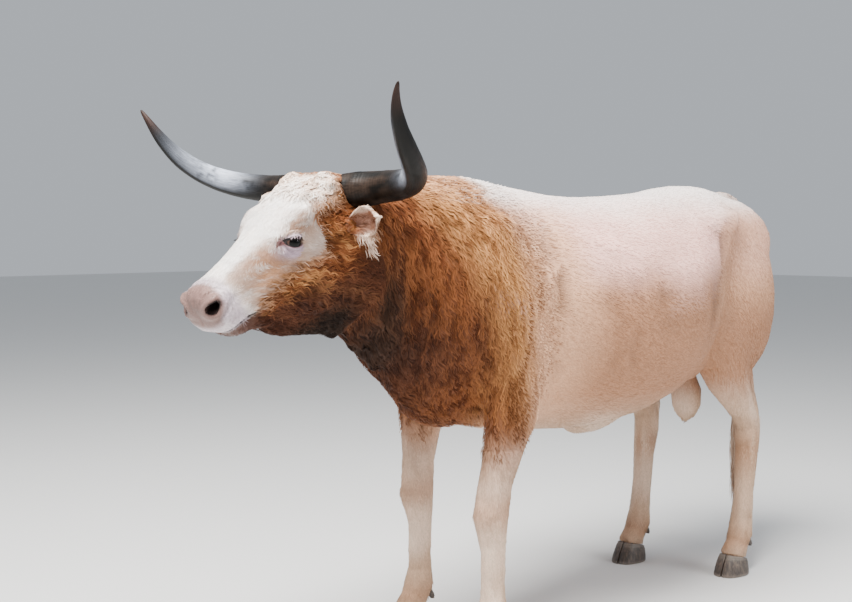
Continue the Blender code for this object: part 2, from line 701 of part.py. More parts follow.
def ear(name):
    """The left ear: a cupped leaf that opens forwards, on its root and fringed below."""
    root = head_point(*EAR_ROOT)
    opening, side = ear_axes()
    made = bmesh.new()
    rows = []
    for i in range(9):
        t = i / 8
        rise = 0.44 + 0.56 * math.sin(math.pi / 2 * min(t / 0.45, 1))
        fall = math.cos(math.pi / 2 * max(t - 0.45, 0) / 0.55) ** 0.75
        half = max(EAR_WIDTH / 2 * rise * fall, 0.004)
        depth = 0.030 * (1 - t) + 0.007
        row = []
        for j in range(7):
            k = j / 3 - 1
            back = depth * (math.sqrt(max(1 - 0.9 * k * k, 0)) - 0.3)
            bow = 0.012 * math.sin(math.pi * t) - 0.020 * t * t
            along = 0.034 + (EAR_LENGTH - 0.034) * t - 0.012 * k * k * t
            row.append(made.verts.new(root + EAR_RUN * along + side * half * k - opening * (back + bow)))
        rows.append(row)
    rims = [(rows[i][6].co.copy(), rows[i][4].co.copy()) for i in (1, 2, 4, 5, 7)]
    for here, there in zip(rows, rows[1:]):
        for j in range(6):
            made.faces.new((here[j], here[j + 1], there[j + 1], there[j]))
    mesh = bpy.data.meshes.new(name)
    made.to_mesh(mesh)
    made.free()
    leaf = new_object(name, mesh)
    thick = leaf.modifiers.new("thick", "SOLIDIFY")
    thick.thickness = EAR_THICKNESS
    thick.offset = 0
    apply_modifiers(leaf)
    unite(leaf, [ear_root("root")] + ear_fringe(rims, EAR_RUN, side))
    return leaf


def eye_axes():
    """Out of the left eye, along its slit towards the nose, and up across the slit."""
    forward = head_point(1, 0) - head_point(0, 0)
    dorsal = head_point(0, 1) - head_point(0, 0)
    level = Vector((1, 0, 0)) * math.cos(EYE_TURN) + forward * math.sin(EYE_TURN)
    out = (level + dorsal * 0.10).normalized()
    slit = Vector((0, -1, -0.10))  # nearly level, whatever the head's own tilt
    slit = (slit - out * slit.dot(out)).normalized()
    return out, slit, slit.cross(out) if slit.cross(out).dot(dorsal) > 0 else out.cross(slit)


def eye_slit(name):
    """A prism with the outline of the open lids, from the middle of the eye outwards."""
    out, slit, up = eye_axes()
    centre = head_point(*EYE_CENTRE)
    rings = []
    for far, grow in ((0.004, 0.86), (0.016, 0.94), (0.050, 1.25)):
        ring = []
        for k in range(18):
            turn = 2 * math.pi * k / 18
            x = math.cos(turn) * SLIT_LENGTH / 2
            lift = math.sin(turn) * (1 - 0.45 * abs(math.cos(turn)) ** 2)
            y = SLIT_HEIGHT / 2 * lift * (1.05 if lift > 0 else 0.95) - 0.0015
            ring.append(centre + out * far + (slit * x + up * y) * grow)
        rings.append(ring)
    return loft(name, rings)


def nostril(name):
    """The left nostril: a comma that opens forwards and sideways, tapering as it goes in."""
    forward, dorsal = head_point(1, 0) - head_point(0, 0), head_point(0, 1) - head_point(0, 0)
    out = (forward * 0.80 + Vector((0.62, 0, 0)) + dorsal * 0.18).normalized()
    tail = Vector((0.62, 0, 0)) - forward * 0.62 + dorsal * 0.30
    tail = (tail - out * tail.dot(out)).normalized()
    over = out.cross(tail)
    over = over if over.dot(dorsal) > 0 else -over
    centre = head_point(0.508, -0.064, 0.051)
    rings = []
    for far, grow in ((-0.030, 0.45), (-0.012, 0.85), (0.006, 1.02), (0.030, 1.25)):
        ring = []
        for k in range(16):
            turn = 2 * math.pi * k / 16
            x = 0.021 * math.cos(turn)
            y = 0.0125 * math.sin(turn) * (1 - 0.42 * math.cos(turn)) + 0.006 * math.cos(turn) ** 2
            ring.append(centre + out * far + (tail * x + over * y) * grow)
        rings.append(ring)
    return loft(name, rings)


def mouth_slit(name):
    """A thin curved wedge between the lips, deep at the sides of the muzzle and shallow at its front."""
    line = ((0.404, -0.157), (0.425, -0.151), (0.45, -0.142), (0.48, -0.137), (0.51, -0.138), (0.56, -0.142))
    rings = []
    for side, share in ((-0.12, 1), (-0.026, 1), (-0.022, 0.3), (0.022, 0.3), (0.026, 1), (0.12, 1)):
        far = [0.560 - (0.560 - along) * share for along, over in line]
        middle = np.interp(far, [along for along, over in line], [over for along, over in line])
        half = [0.0004] + [0.0015] * (len(line) - 1)
        upper = [head_point(*place, side) for place in zip(far, middle + half)]
        lower = [head_point(*place, side) for place in zip(far, middle - half)]
        rings.append(upper + lower[::-1])
    made = bmesh.new()
    rows = [[made.verts.new(point) for point in ring] for ring in rings]
    count = len(rows[0])
    for here, there in zip(rows, rows[1:]):
        for i in range(count):
            j = (i + 1) % count
            made.faces.new((here[i], here[j], there[j], there[i]))
    for row in (rows[0], rows[-1]):
        for i in range(len(line) - 1):
            made.faces.new((row[i], row[i + 1], row[count - 2 - i], row[count - 1 - i]))
    bmesh.ops.recalc_face_normals(made, faces=made.faces)
    mesh = bpy.data.meshes.new(name)
    made.to_mesh(mesh)
    made.free()
    return new_object(name, mesh)


def head_cuts():
    """Sockets for eyes, horns and ears, and the openings of the eyes, nose and mouth."""
    centre = head_point(*EYE_CENTRE)
    ball = EYE_RADIUS + GAP
    cuts = [mouth_slit("mouth")]
    sided = [
        lump("socket", centre, (ball, ball, ball), (0, 0, 0), (16, 9)),
        eye_slit("slit"),
        horn("horn_socket", GAP, 4),
        ear_root("ear_socket", GAP),
        nostril("nostril"),
    ]
    for cutter in sided:
        cuts += both_sides(cutter)
    return cuts


def coronet(name):
    """The middle of the hoof's upper edge, and how far that plane falls per metre towards the heel."""
    end, side, square_y, step = LEGS[name]
    row = (FORE_LEG if end == "fore" else HIND_LEG)[-2]
    return Vector((row[0] * side, row[1] + square_y + step, CORONET_HEIGHT)), math.tan(CORONET_TILT)


def hoof_cuts():
    cuts = []
    for name in LEGS:
        centre, fall = coronet(name)
        down = Vector((0, -fall, -1)).normalized()
        cuts.append(box_between("under", centre + down * 0.1, down, (1, 0, 0), (0.2, 0.16, 0.22)))
        for side in (-1, 1):
            cuts.append(dewclaw("dewclaw_socket", name, side, GAP))
    return cuts


def claw(name, leg, side):
    """One half of a cloven hoof, flat on the ground; side is 1 for the half towards +X."""
    centre, fall = coronet(leg)
    levels = (  # share of the height, front, rear, outer half width, inner gap
        (1.00, -0.050, 0.051, 0.0455, 0.0012),
        (0.62, -0.067, 0.053, 0.0530, 0.0015),
        (0.10, -0.089, 0.047, 0.0575, 0.0022),
        (0.00, -0.089, 0.044, 0.0560, 0.0030),
    )
    rings = []
    for share, front, rear, outer, inner in levels:
        ring = []
        for k in range(11):
            turn = math.pi * (k / 10 - 0.5)
            reach = rear if turn > 0 else -front
            y = reach * math.sin(turn)
            x = inner + (outer - inner) * abs(math.cos(turn)) ** 0.75
            ring.append((x, y))
        for k in range(1, 4):
            y = rear + (front - rear) * k / 4
            ring.append((inner, y))
        top = [CORONET_HEIGHT - GAP - fall * y for x, y in ring]
        places = zip(ring, top)
        rings.append([Vector((centre.x + side * x, centre.y + y, z * share)) for (x, y), z in places])
    return loft(name, rings)


def dewclaw(name, leg, side, thicker=0.0):
    """A small horny cone behind the fetlock."""
    centre, fall = coronet(leg)
    start = centre + Vector((side * 0.021, 0.062, 0.052))
    run = Vector((side * 0.10, 0.62, -0.78)).normalized()
    across = run.cross(Vector((1, 0, 0))).normalized()
    deep = run.cross(across)
    rings = []
    for far, radius in ((-0.006, 0.0110), (0.006, 0.0125), (0.024, 0.0095), (0.033, 0.0040)):
        ring = []
        for k in range(8):
            turn = 2 * math.pi * k / 8
            reach = radius + thicker
            around = across * math.cos(turn) + deep * math.sin(turn)
            ring.append(start + run * (far - thicker) + around * reach)
        rings.append(ring)
    return loft(name, rings)


# Where the middle of each piece of flesh lies
FLESH_PIECES = {
    "torso": (0, 0.20, 1.02),
    "neck": (0, -0.88, 1.18),
    "head": (0, -1.20, 1.22),
    "tail_root": (0, 1.155, 1.05),
    "tail_dock": (0, 1.155, 0.77),
    "tail_switch": (0, 1.155, 0.40),
    "scrotum": (0, 0.76, 0.64),
    "foreleg_left": (0.195, -0.52, 0.58),
    "foreleg_right": (-0.195, -0.46, 0.58),
    "foreshin_left": (0.190, -0.56, 0.24),
    "foreshin_right": (-0.190, -0.48, 0.24),
    "hindleg_left": (0.190, 0.77, 0.65),
    "hindleg_right": (-0.190, 0.71, 0.65),
    "hindshin_left": (0.190, 0.85, 0.28),
    "hindshin_right": (-0.190, 0.75, 0.28),
}


def part_flesh(flesh):
    """Splits the cut flesh into its closed surfaces and names each by the middle it lies nearest to."""
    bpy.ops.object.select_all(action="DESELECT")
    flesh.select_set(True)
    bpy.context.view_layer.objects.active = flesh
    bpy.ops.mesh.separate(type="LOOSE")
    found = {}
    for obj in list(bpy.context.selected_objects):
        middle = sum((Vector(c) for c in obj.bound_box), Vector()) / 8
        name = min(FLESH_PIECES, key=lambda n: (Vector(FLESH_PIECES[n]) - middle).length)
        if name in found:
            crumb = min(found[name], obj, key=lambda o: len(o.data.polygons))
            found[name] = max(found[name], obj, key=lambda o: len(o.data.polygons))
            bpy.data.objects.remove(crumb)
        else:
            found[name] = obj
    for name, obj in found.items():
        obj.name = name
    return found


def settle(objects):
    """Moves everything so that the box around it stands centred on the origin, and sets the shading."""
    points = [obj.matrix_world @ v.co for obj in objects for v in obj.data.vertices]
    low = [min(p[i] for p in points) for i in range(3)]
    high = [max(p[i] for p in points) for i in range(3)]
    shift = Vector((-(low[0] + high[0]) / 2, -(low[1] + high[1]) / 2, -low[2]))
    for obj in objects:
        obj.data.transform(Matrix.Translation(shift))
        obj.data.shade_smooth()
        obj.data.set_sharp_from_angle(angle=math.radians(55))


def main():
    clear_scene()
    hide = material("hide", SAND, 0.8)
    russet = material("russet_hide", RUSSET, 0.8)
    cream = material("cream_hide", CREAM, 0.8)
    horn_stuff = material("horn", HORN_GREY, 0.45)
    hoof_stuff = material("hoof", HOOF_GREY, 0.5)
    eye_stuff = material("eye", EYE_DARK, 0.08)

    flesh = whole_flesh()
    unite(flesh, coat_locks(flesh))
    subtract(flesh, head_cuts() + hoof_cuts() + thin_cuts())
    pieces = part_flesh(flesh)
    looks = {name: hide for name in pieces}
    looks.update(head=cream, torso=cream, neck=russet)

    left = {
        "horn": (horn("horn_left"), horn_stuff),
        "ear": (ear("ear_left"), russet),
        "eye": (lump("eye_left", head_point(*EYE_CENTRE), [EYE_RADIUS] * 3, (0, 0, 0), (16, 9)), eye_stuff),
    }
    for kind, (obj, stuff) in left.items():
        for name, made in ((f"{kind}_left", obj), (f"{kind}_right", mirrored(obj, f"{kind}_right"))):
            pieces[name] = made
            looks[name] = stuff
    for leg in LEGS:
        for side, place in ((1, "l"), (-1, "r")):
            name = f"claw_{leg}_{place}"
            pieces[name] = claw(name, leg, side)
            spur = f"dewclaw_{leg}_{place}"
            pieces[spur] = dewclaw(spur, leg, side)
            looks[name] = looks[spur] = hoof_stuff

    for name, obj in pieces.items():
        obj.name = name
        keep_largest(obj)
        obj.data.materials.clear()
        obj.data.materials.append(looks[name])
    settle(list(pieces.values()))


main()
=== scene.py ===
import math

import bmesh
import bpy
import numpy as np
from mathutils import Matrix, Vector
from mathutils.bvhtree import BVHTree


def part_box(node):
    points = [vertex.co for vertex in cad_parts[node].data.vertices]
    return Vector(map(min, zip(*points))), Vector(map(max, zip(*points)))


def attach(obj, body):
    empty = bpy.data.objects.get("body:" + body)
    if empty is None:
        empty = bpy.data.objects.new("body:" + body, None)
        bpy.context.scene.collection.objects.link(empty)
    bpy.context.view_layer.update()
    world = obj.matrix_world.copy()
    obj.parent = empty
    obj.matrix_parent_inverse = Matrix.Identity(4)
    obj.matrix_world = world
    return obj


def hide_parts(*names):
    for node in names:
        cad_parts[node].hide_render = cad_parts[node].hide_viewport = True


# A life-size standing longhorn bull. The nose is at -Y and the left side at +X, in metres.

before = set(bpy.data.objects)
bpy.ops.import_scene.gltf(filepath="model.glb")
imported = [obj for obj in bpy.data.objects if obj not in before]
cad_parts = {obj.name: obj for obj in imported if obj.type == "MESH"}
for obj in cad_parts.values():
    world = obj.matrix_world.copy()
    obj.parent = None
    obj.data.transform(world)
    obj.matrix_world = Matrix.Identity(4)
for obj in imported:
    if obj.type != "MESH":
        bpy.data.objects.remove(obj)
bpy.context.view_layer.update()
bpy.ops.object.select_all(action="DESELECT")

# Where the solids stand: the left eye's middle gives the place of the whole head
eyeLow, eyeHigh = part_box("eye_left")
eyeMiddle = (eyeLow + eyeHigh) / 2
headDrop = math.radians(36)
noseward = Vector((0, -math.cos(headDrop), -math.sin(headDrop)))
crownward = Vector((0, -math.sin(headDrop), math.cos(headDrop)))
eyeAlong, eyeOver = 0.241, -0.061
poll = Vector((0, eyeMiddle.y, eyeMiddle.z)) - noseward * eyeAlong - crownward * eyeOver
modelShift = poll.y + 1.07  # how far the model stands from where its measures count from


def headPoint(along, over, across=0.0):
    return poll + noseward * along + crownward * over + Vector((across, 0, 0))


def smoothStep(value, low, high):
    t = np.clip((value - low) / (high - low), 0, 1)
    return t * t * (3 - 2 * t)


def band(value, middle, width):
    return np.exp(-(((value - middle) / width) ** 2))


def mix(a, b, share):
    share = np.asarray(share)
    if share.ndim == 1:
        share = share[:, None]
    return np.asarray(a) * (1 - share) + np.asarray(b) * share


def cellValue(cells, seed):
    n = cells[:, 0] * 73856093 ^ cells[:, 1] * 19349663 ^ cells[:, 2] * 83492791 ^ (seed * 668265263)
    n = (n ^ (n >> 13)) * 1274126177
    n = n ^ (n >> 16)
    return (n & 65535) / 65535.0


# Soft noise from 0 to 1, its size one number or one for each axis
def noise(points, size, seed=0):
    p = points / np.asarray(size, float) + 1000.0
    cell = np.floor(p).astype(np.int64)
    f = p - cell
    f = f * f * (3 - 2 * f)
    total = np.zeros(len(points))
    for dx in (0, 1):
        for dy in (0, 1):
            for dz in (0, 1):
                weight = (f[:, 0] if dx else 1 - f[:, 0]) * (f[:, 1] if dy else 1 - f[:, 1])
                weight = weight * (f[:, 2] if dz else 1 - f[:, 2])
                total += weight * cellValue(cell + np.array((dx, dy, dz)), seed)
    return total


def layered(points, size, seed=0, layers=3):
    total, share, reach = np.zeros(len(points)), 0.5, np.asarray(size, float)
    for k in range(layers):
        total += noise(points, reach, seed + k) * share
        share, reach = share / 2, reach / 2.1
    return total / (1 - 0.5**layers)


def unit(vectors):
    return vectors / np.maximum(np.linalg.norm(vectors, axis=1), 1e-9)[:, None]


def readPoints(mesh):
    co = np.empty(len(mesh.vertices) * 3)
    mesh.vertices.foreach_get("co", co)
    return co.reshape(-1, 3)


def readNormals(mesh):
    values = np.empty(len(mesh.vertices) * 3)
    mesh.vertices.foreach_get("normal", values)
    return values.reshape(-1, 3)


def writePoints(mesh, points):
    mesh.vertices.foreach_set("co", np.ascontiguousarray(points, dtype=np.float32).ravel())
    mesh.update()


def pick(obj):
    bpy.ops.object.select_all(action="DESELECT")
    obj.select_set(True)
    bpy.context.view_layer.objects.active = obj


def applyAll(obj):
    pick(obj)
    for step in list(obj.modifiers):
        bpy.ops.object.modifier_apply(modifier=step.name)


# A merged copy of a CAD node's mesh
def copyNode(name):
    made = bpy.data.objects.new(name + "_copy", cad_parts[name].data.copy())
    made.data.materials.clear()
    bpy.context.scene.collection.objects.link(made)
    shape = bmesh.new()
    shape.from_mesh(made.data)
    bmesh.ops.remove_doubles(shape, verts=shape.verts, dist=0.00001)
    shape.to_mesh(made.data)
    shape.free()
    return made


def joinAll(objects, name):
    bpy.ops.object.select_all(action="DESELECT")
    for obj in objects:
        obj.select_set(True)
    bpy.context.view_layer.objects.active = objects[0]
    if len(objects) > 1:
        bpy.ops.object.join()
    objects[0].name = name
    objects[0].data.name = name
    return objects[0]


# Along the nose line, over it and across
def headFrame(points):
    rel = points - np.array(poll)
    return rel @ np.array(noseward), rel @ np.array(crownward), np.abs(rel[:, 0])


# Points as the body's measures count them
def stance(points):
    return points - np.array((0, modelShift, 0))


# 1 on the head, 0 on the neck and body
def headShare(points):
    along, over, _ = headFrame(points)
    behindJaw = -0.335 - 0.10 * smoothStep(along, 0.10, 0.30) + 0.22 * (1 - smoothStep(along, 0.0, 0.12))
    share = smoothStep(along, -0.012, 0.012) * smoothStep(over, behindJaw - 0.02, behindJaw + 0.02)
    return share * (points[:, 2] > 0.9)


skinForm = {
    "voxel": 0.0045,
    "triangles": 120000,
    "coatOnFace": 0.0025,
    "coatOnNeck": 0.0070,
    "coatOnBody": 0.0035,
    "coatOnLegs": 0.0020,
    "softFactor": 0.5,
    "softTimes": 14,
}
mouthLine = (
    (0.404, -0.157), (0.425, -0.151), (0.450, -0.142), (0.480, -0.137), (0.510, -0.138), (0.56, -0.142),
)


# The part of a horn or ear that fills its socket in the head
def plugFrom(node, keep):
    made = copyNode(node)
    points = readPoints(made.data)
    sign = 1 if points[:, 0].mean() > 0 else -1
    pick(made)
    bpy.ops.object.mode_set(mode="EDIT")
    bpy.ops.mesh.select_all(action="SELECT")
    bpy.ops.mesh.bisect(plane_co=(sign * keep, 0, 0), plane_no=(sign, 0, 0), use_fill=True, clear_outer=True)
    bpy.ops.object.mode_set(mode="OBJECT")
    return made


# The thin end of the tail's bone inside the switch
def tailCore():
    low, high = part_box("tail_dock")
    x, y = (low.x + high.x) / 2, (low.y + high.y) / 2
    bpy.ops.mesh.primitive_cone_add(
        vertices=16,
        radius1=0.006,
        radius2=0.0165,
        depth=0.26,
        location=(x, y, low.z - 0.125),
        end_fill_type="TRIFAN",
    )
    return bpy.context.object


nostrilForm = {"place": (0.506, -0.062, 0.050), "halfLong": 0.0240, "halfTall": 0.0130, "deep": 0.040}
nostrilOut = (noseward * 0.80 + Vector((0.62, 0, 0)) + crownward * 0.18).normalized()
nostrilTail = Vector((0.62, 0, 0)) - noseward * 0.62 + crownward * 0.30
nostrilTail = (nostrilTail - nostrilOut * nostrilTail.dot(nostrilOut)).normalized()
nostrilOver = nostrilOut.cross(nostrilTail)
if nostrilOver.dot(crownward) < 0:
    nostrilOver = -nostrilOver
nostrilMiddle = headPoint(*nostrilForm["place"])


# Fills the solid's nostril before the skin is made whole
def nostrilPlug(side):
    middle = nostrilMiddle - nostrilOut * 0.016
    bpy.ops.mesh.primitive_uv_sphere_add(segments=24, ring_count=14, radius=0.0245, location=middle)
    made = bpy.context.object
    bpy.ops.object.transform_apply(location=True, rotation=True, scale=True)
    if side < 0:
        made.data.transform(Matrix.Diagonal((-1, 1, 1, 1)))
        made.data.flip_normals()
    return made


# A comma that narrows as it goes in
def nostrilCutter(side):
    columns = 40
    bpy.ops.mesh.primitive_cylinder_add(vertices=columns, radius=1, depth=1, end_fill_type="TRIFAN")
    made = bpy.context.object
    pick(made)
    bpy.ops.object.mode_set(mode="EDIT")
    for level in (-0.25, 0.0, 0.25):
        bpy.ops.mesh.select_all(action="SELECT")
        bpy.ops.mesh.bisect(plane_co=(0, 0, level), plane_no=(0, 0, 1))
    bpy.ops.object.mode_set(mode="OBJECT")
    for v in made.data.vertices:
        far = v.co.z + 0.5  # 0 inside, 1 outside
        turn = math.atan2(v.co.y, v.co.x)
        reach = math.hypot(v.co.x, v.co.y)
        size = 0.34 + 0.66 * min(far / 0.7, 1) ** 0.8 + 0.5 * max(far - 0.7, 0)
        x = math.cos(turn) * nostrilForm["halfLong"] * size * reach
        tall = nostrilForm["halfTall"] * (1 - 0.30 * math.cos(turn)) * size * reach
        y = math.sin(turn) * tall + 0.0045 * math.cos(turn) ** 2 * reach
        bend = nostrilTail * (0.010 * (1 - far))
        v.co = nostrilMiddle + nostrilOut * ((far - 0.72) * nostrilForm["deep"]) + nostrilTail * x
        v.co += nostrilOver * y + bend
    if side < 0:
        made.data.transform(Matrix.Diagonal((-1, 1, 1, 1)))
    pick(made)
    bpy.ops.object.mode_set(mode="EDIT")
    bpy.ops.mesh.select_all(action="SELECT")
    bpy.ops.mesh.normals_make_consistent(inside=False)
    bpy.ops.object.mode_set(mode="OBJECT")
    return made


fleshNames = ["head", "neck", "torso", "scrotum", "tail_root", "tail_dock"]
for side in ("left", "right"):
    fleshNames += [f"{part}_{side}" for part in ("foreleg", "foreshin", "hindleg", "hindshin")]
fleshCopies = [copyNode(name) for name in fleshNames]
fleshCopies += [copyNode("eye_left"), copyNode("eye_right"), tailCore(), nostrilPlug(1), nostrilPlug(-1)]
for side in ("left", "right"):
    fleshCopies += [plugFrom("horn_" + side, 0.100), plugFrom("ear_" + side, 0.128)]
skin = joinAll(fleshCopies, "skin")
remesh = skin.modifiers.new("whole", "REMESH")
remesh.mode = "VOXEL"
remesh.voxel_size = skinForm["voxel"]
applyAll(skin)
print("skin remeshed", len(skin.data.polygons))

smoothGroup = skin.vertex_groups.new(name="soft")
points = readPoints(skin.data)
along, over, across = headFrame(points)
place = stance(points)
softness = np.where(place[:, 2] < 0.62, 0.35, 1.0)
softness *= 1 - 0.55 * smoothStep(along, 0.05, 0.2) * (place[:, 2] > 0.9)
for level in range(1, 11):
    chosen = np.nonzero(np.round(softness * 10).astype(int) == level)[0]
    if len(chosen):
        smoothGroup.add(chosen.tolist(), level / 10, "REPLACE")
soft = skin.modifiers.new("soft", "SMOOTH")
soft.factor = skinForm["softFactor"]
soft.iterations = skinForm["softTimes"]
soft.vertex_group = "soft"
thin = skin.modifiers.new("thin", "DECIMATE")
thin.ratio = min(1.0, skinForm["triangles"] / (2 * len(skin.data.polygons)))
keepGroup = skin.vertex_groups.new(name="coarse")
coarse = np.where(along > -0.02, 0.35, 1.0)
for level in (0.35, 1.0):
    chosen = np.nonzero(np.abs(coarse - level) < 0.01)[0]
    keepGroup.add(chosen.tolist(), level, "REPLACE")
thin.vertex_group = "coarse"
applyAll(skin)
skin.vertex_groups.clear()
print("skin thinned", len(skin.data.polygons))

# Finer faces where lids, nostrils and lips are drawn
eyeTurn = math.radians(32)
eyeOut = Vector((1, 0, 0)) * math.cos(eyeTurn) + noseward * math.sin(eyeTurn) + crownward * 0.10
eyeOut.normalize()
eyeSlit = Vector((0, -1, -0.10))
eyeSlit = (eyeSlit - eyeOut * eyeSlit.dot(eyeOut)).normalized()
eyeUp = eyeSlit.cross(eyeOut)
if eyeUp.dot(crownward) < 0:
    eyeUp = -eyeUp


# Towards the nose along the slit, up across it and out of the eye
def eyeFrame(points):
    folded = points.copy()
    folded[:, 0] = np.abs(folded[:, 0])
    rel = folded - np.array(eyeMiddle)
    return rel @ np.array(eyeSlit), rel @ np.array(eyeUp), rel @ np.array(eyeOut)


# Halves the edges of the faces that the test picks, once for each size
def refine(obj, wanted, rounds):
    for reach in rounds:
        shape = bmesh.new()
        shape.from_mesh(obj.data)
        chosen = wanted(readPoints(obj.data), reach)
        shape.verts.ensure_lookup_table()
        edges = [e for e in shape.edges if chosen[e.verts[0].index] and chosen[e.verts[1].index]]
        bmesh.ops.subdivide_edges(shape, edges=edges, cuts=1, use_grid_fill=True, smooth=0.0)
        bmesh.ops.triangulate(shape, faces=[f for f in shape.faces if len(f.verts) > 3])
        shape.to_mesh(obj.data)
        shape.free()


def nearDetail(points, reach):
    x, y, z = eyeFrame(points)
    nearEye = (np.hypot(x, y) < reach) & (z > -0.01)
    folded = points.copy()
    folded[:, 0] = np.abs(folded[:, 0])
    nearNose = np.linalg.norm(folded - np.array(nostrilMiddle), axis=1) < reach * 0.9
    along, over, _ = headFrame(points)
    line = np.interp(along, [m[0] for m in mouthLine], [m[1] for m in mouthLine])
    nearLips = (np.abs(over - line) < reach * 0.25) & (along > 0.39) & (points[:, 2] > 0.9)
    return nearEye | nearNose | nearLips


def nearWrinkles(points, reach):
    place = stance(points)
    y, z = place[:, 1], place[:, 2]
    return (y > -0.43) & (y < 0.06) & (z > 0.79) & (z < 1.26) & (np.abs(points[:, 0]) > 0.1)


refine(skin, nearDetail, (0.048, 0.036))
refine(skin, nearWrinkles, (0,))
print("skin refined", len(skin.data.polygons))

lidForm = {
    "back": 0.0040,
    "halfLength": 0.0275,
    "upper": 0.0115,
    "lower": 0.0100,
    "ball": 0.0232,
    "lid": 0.0030,
}


# How far outside the open slit, below nought inside
def slitDistance(x, y):
    x = x + lidForm["back"]
    tall = np.where(y > 0, lidForm["upper"], lidForm["lower"])
    power = 1.7
    u, v = np.abs(x) / lidForm["halfLength"] + 1e-6, np.abs(y) / tall + 1e-6
    e = (u**power + v**power) ** (1 / power)
    slope = np.hypot(u ** (power - 1) / lidForm["halfLength"], v ** (power - 1) / tall) * e ** (1 - power)
    return (e - 1) / slope


def shapeLids(points):
    x, y, z = eyeFrame(points)
    middle = np.where(points[:, :1] > 0, 1, -1) * np.array((eyeMiddle.x, 0, 0))
    middle = middle + np.array((0, eyeMiddle.y, eyeMiddle.z))
    rel = points - middle
    radius = np.linalg.norm(rel, axis=1)
    d = slitDistance(x, y - 0.001)
    ball, lid = lidForm["ball"], lidForm["lid"]
    rim = ball + 0.0006 + lid * smoothStep(d, 0.0, 0.0035)
    crease = -0.0022 * band(d, 0.0090, 0.0022) * (y > 0)
    pouch = 0.0022 * band(d, 0.0065, 0.0040) - 0.0012 * band(d, 0.0120, 0.0020)
    shaped = rim + crease + pouch * (y < 0)
    inside = ball - 0.0035
    shaped = np.where(d < 0, inside + (shaped - inside) * smoothStep(d, -0.0016, 0.0), shaped)
    share = (1 - smoothStep(d, 0.006, 0.020)) * (z > 0) * (radius < 0.06)
    return middle + rel * ((radius * (1 - share) + shaped * share) / radius)[:, None]


def nostrilFrame(points):
    folded = points.copy()
    folded[:, 0] = np.abs(folded[:, 0])
    rel = folded - np.array(nostrilMiddle)
    return rel @ np.array(nostrilTail), rel @ np.array(nostrilOver), rel @ np.array(nostrilOut)


# how high the folds and swells of the hide stand, and where its two long creases run
reliefForm = {
    "girthSwell": 0.007,
    "girthDeep": 0.015,
    "wrinkle": 0.0034,
    "wrinkleGap": 0.026,
    "flankSwell": 0.006,
    "flankDeep": 0.013,
    "rib": 0.0040,
    "ribGap": 0.068,
    "fold": 0.0085,
    "foldGap": 0.062,
    "pleat": 0.0022,
    "pleatGap": 0.034,
    "lipDeep": 0.0050,
    "flankAt": (0.629, 1.324),
    "flankSlope": 0.75,
}


def flankCrease(z):
    y, high = reliefForm["flankAt"]
    return y + reliefForm["flankSlope"] * (z - high)


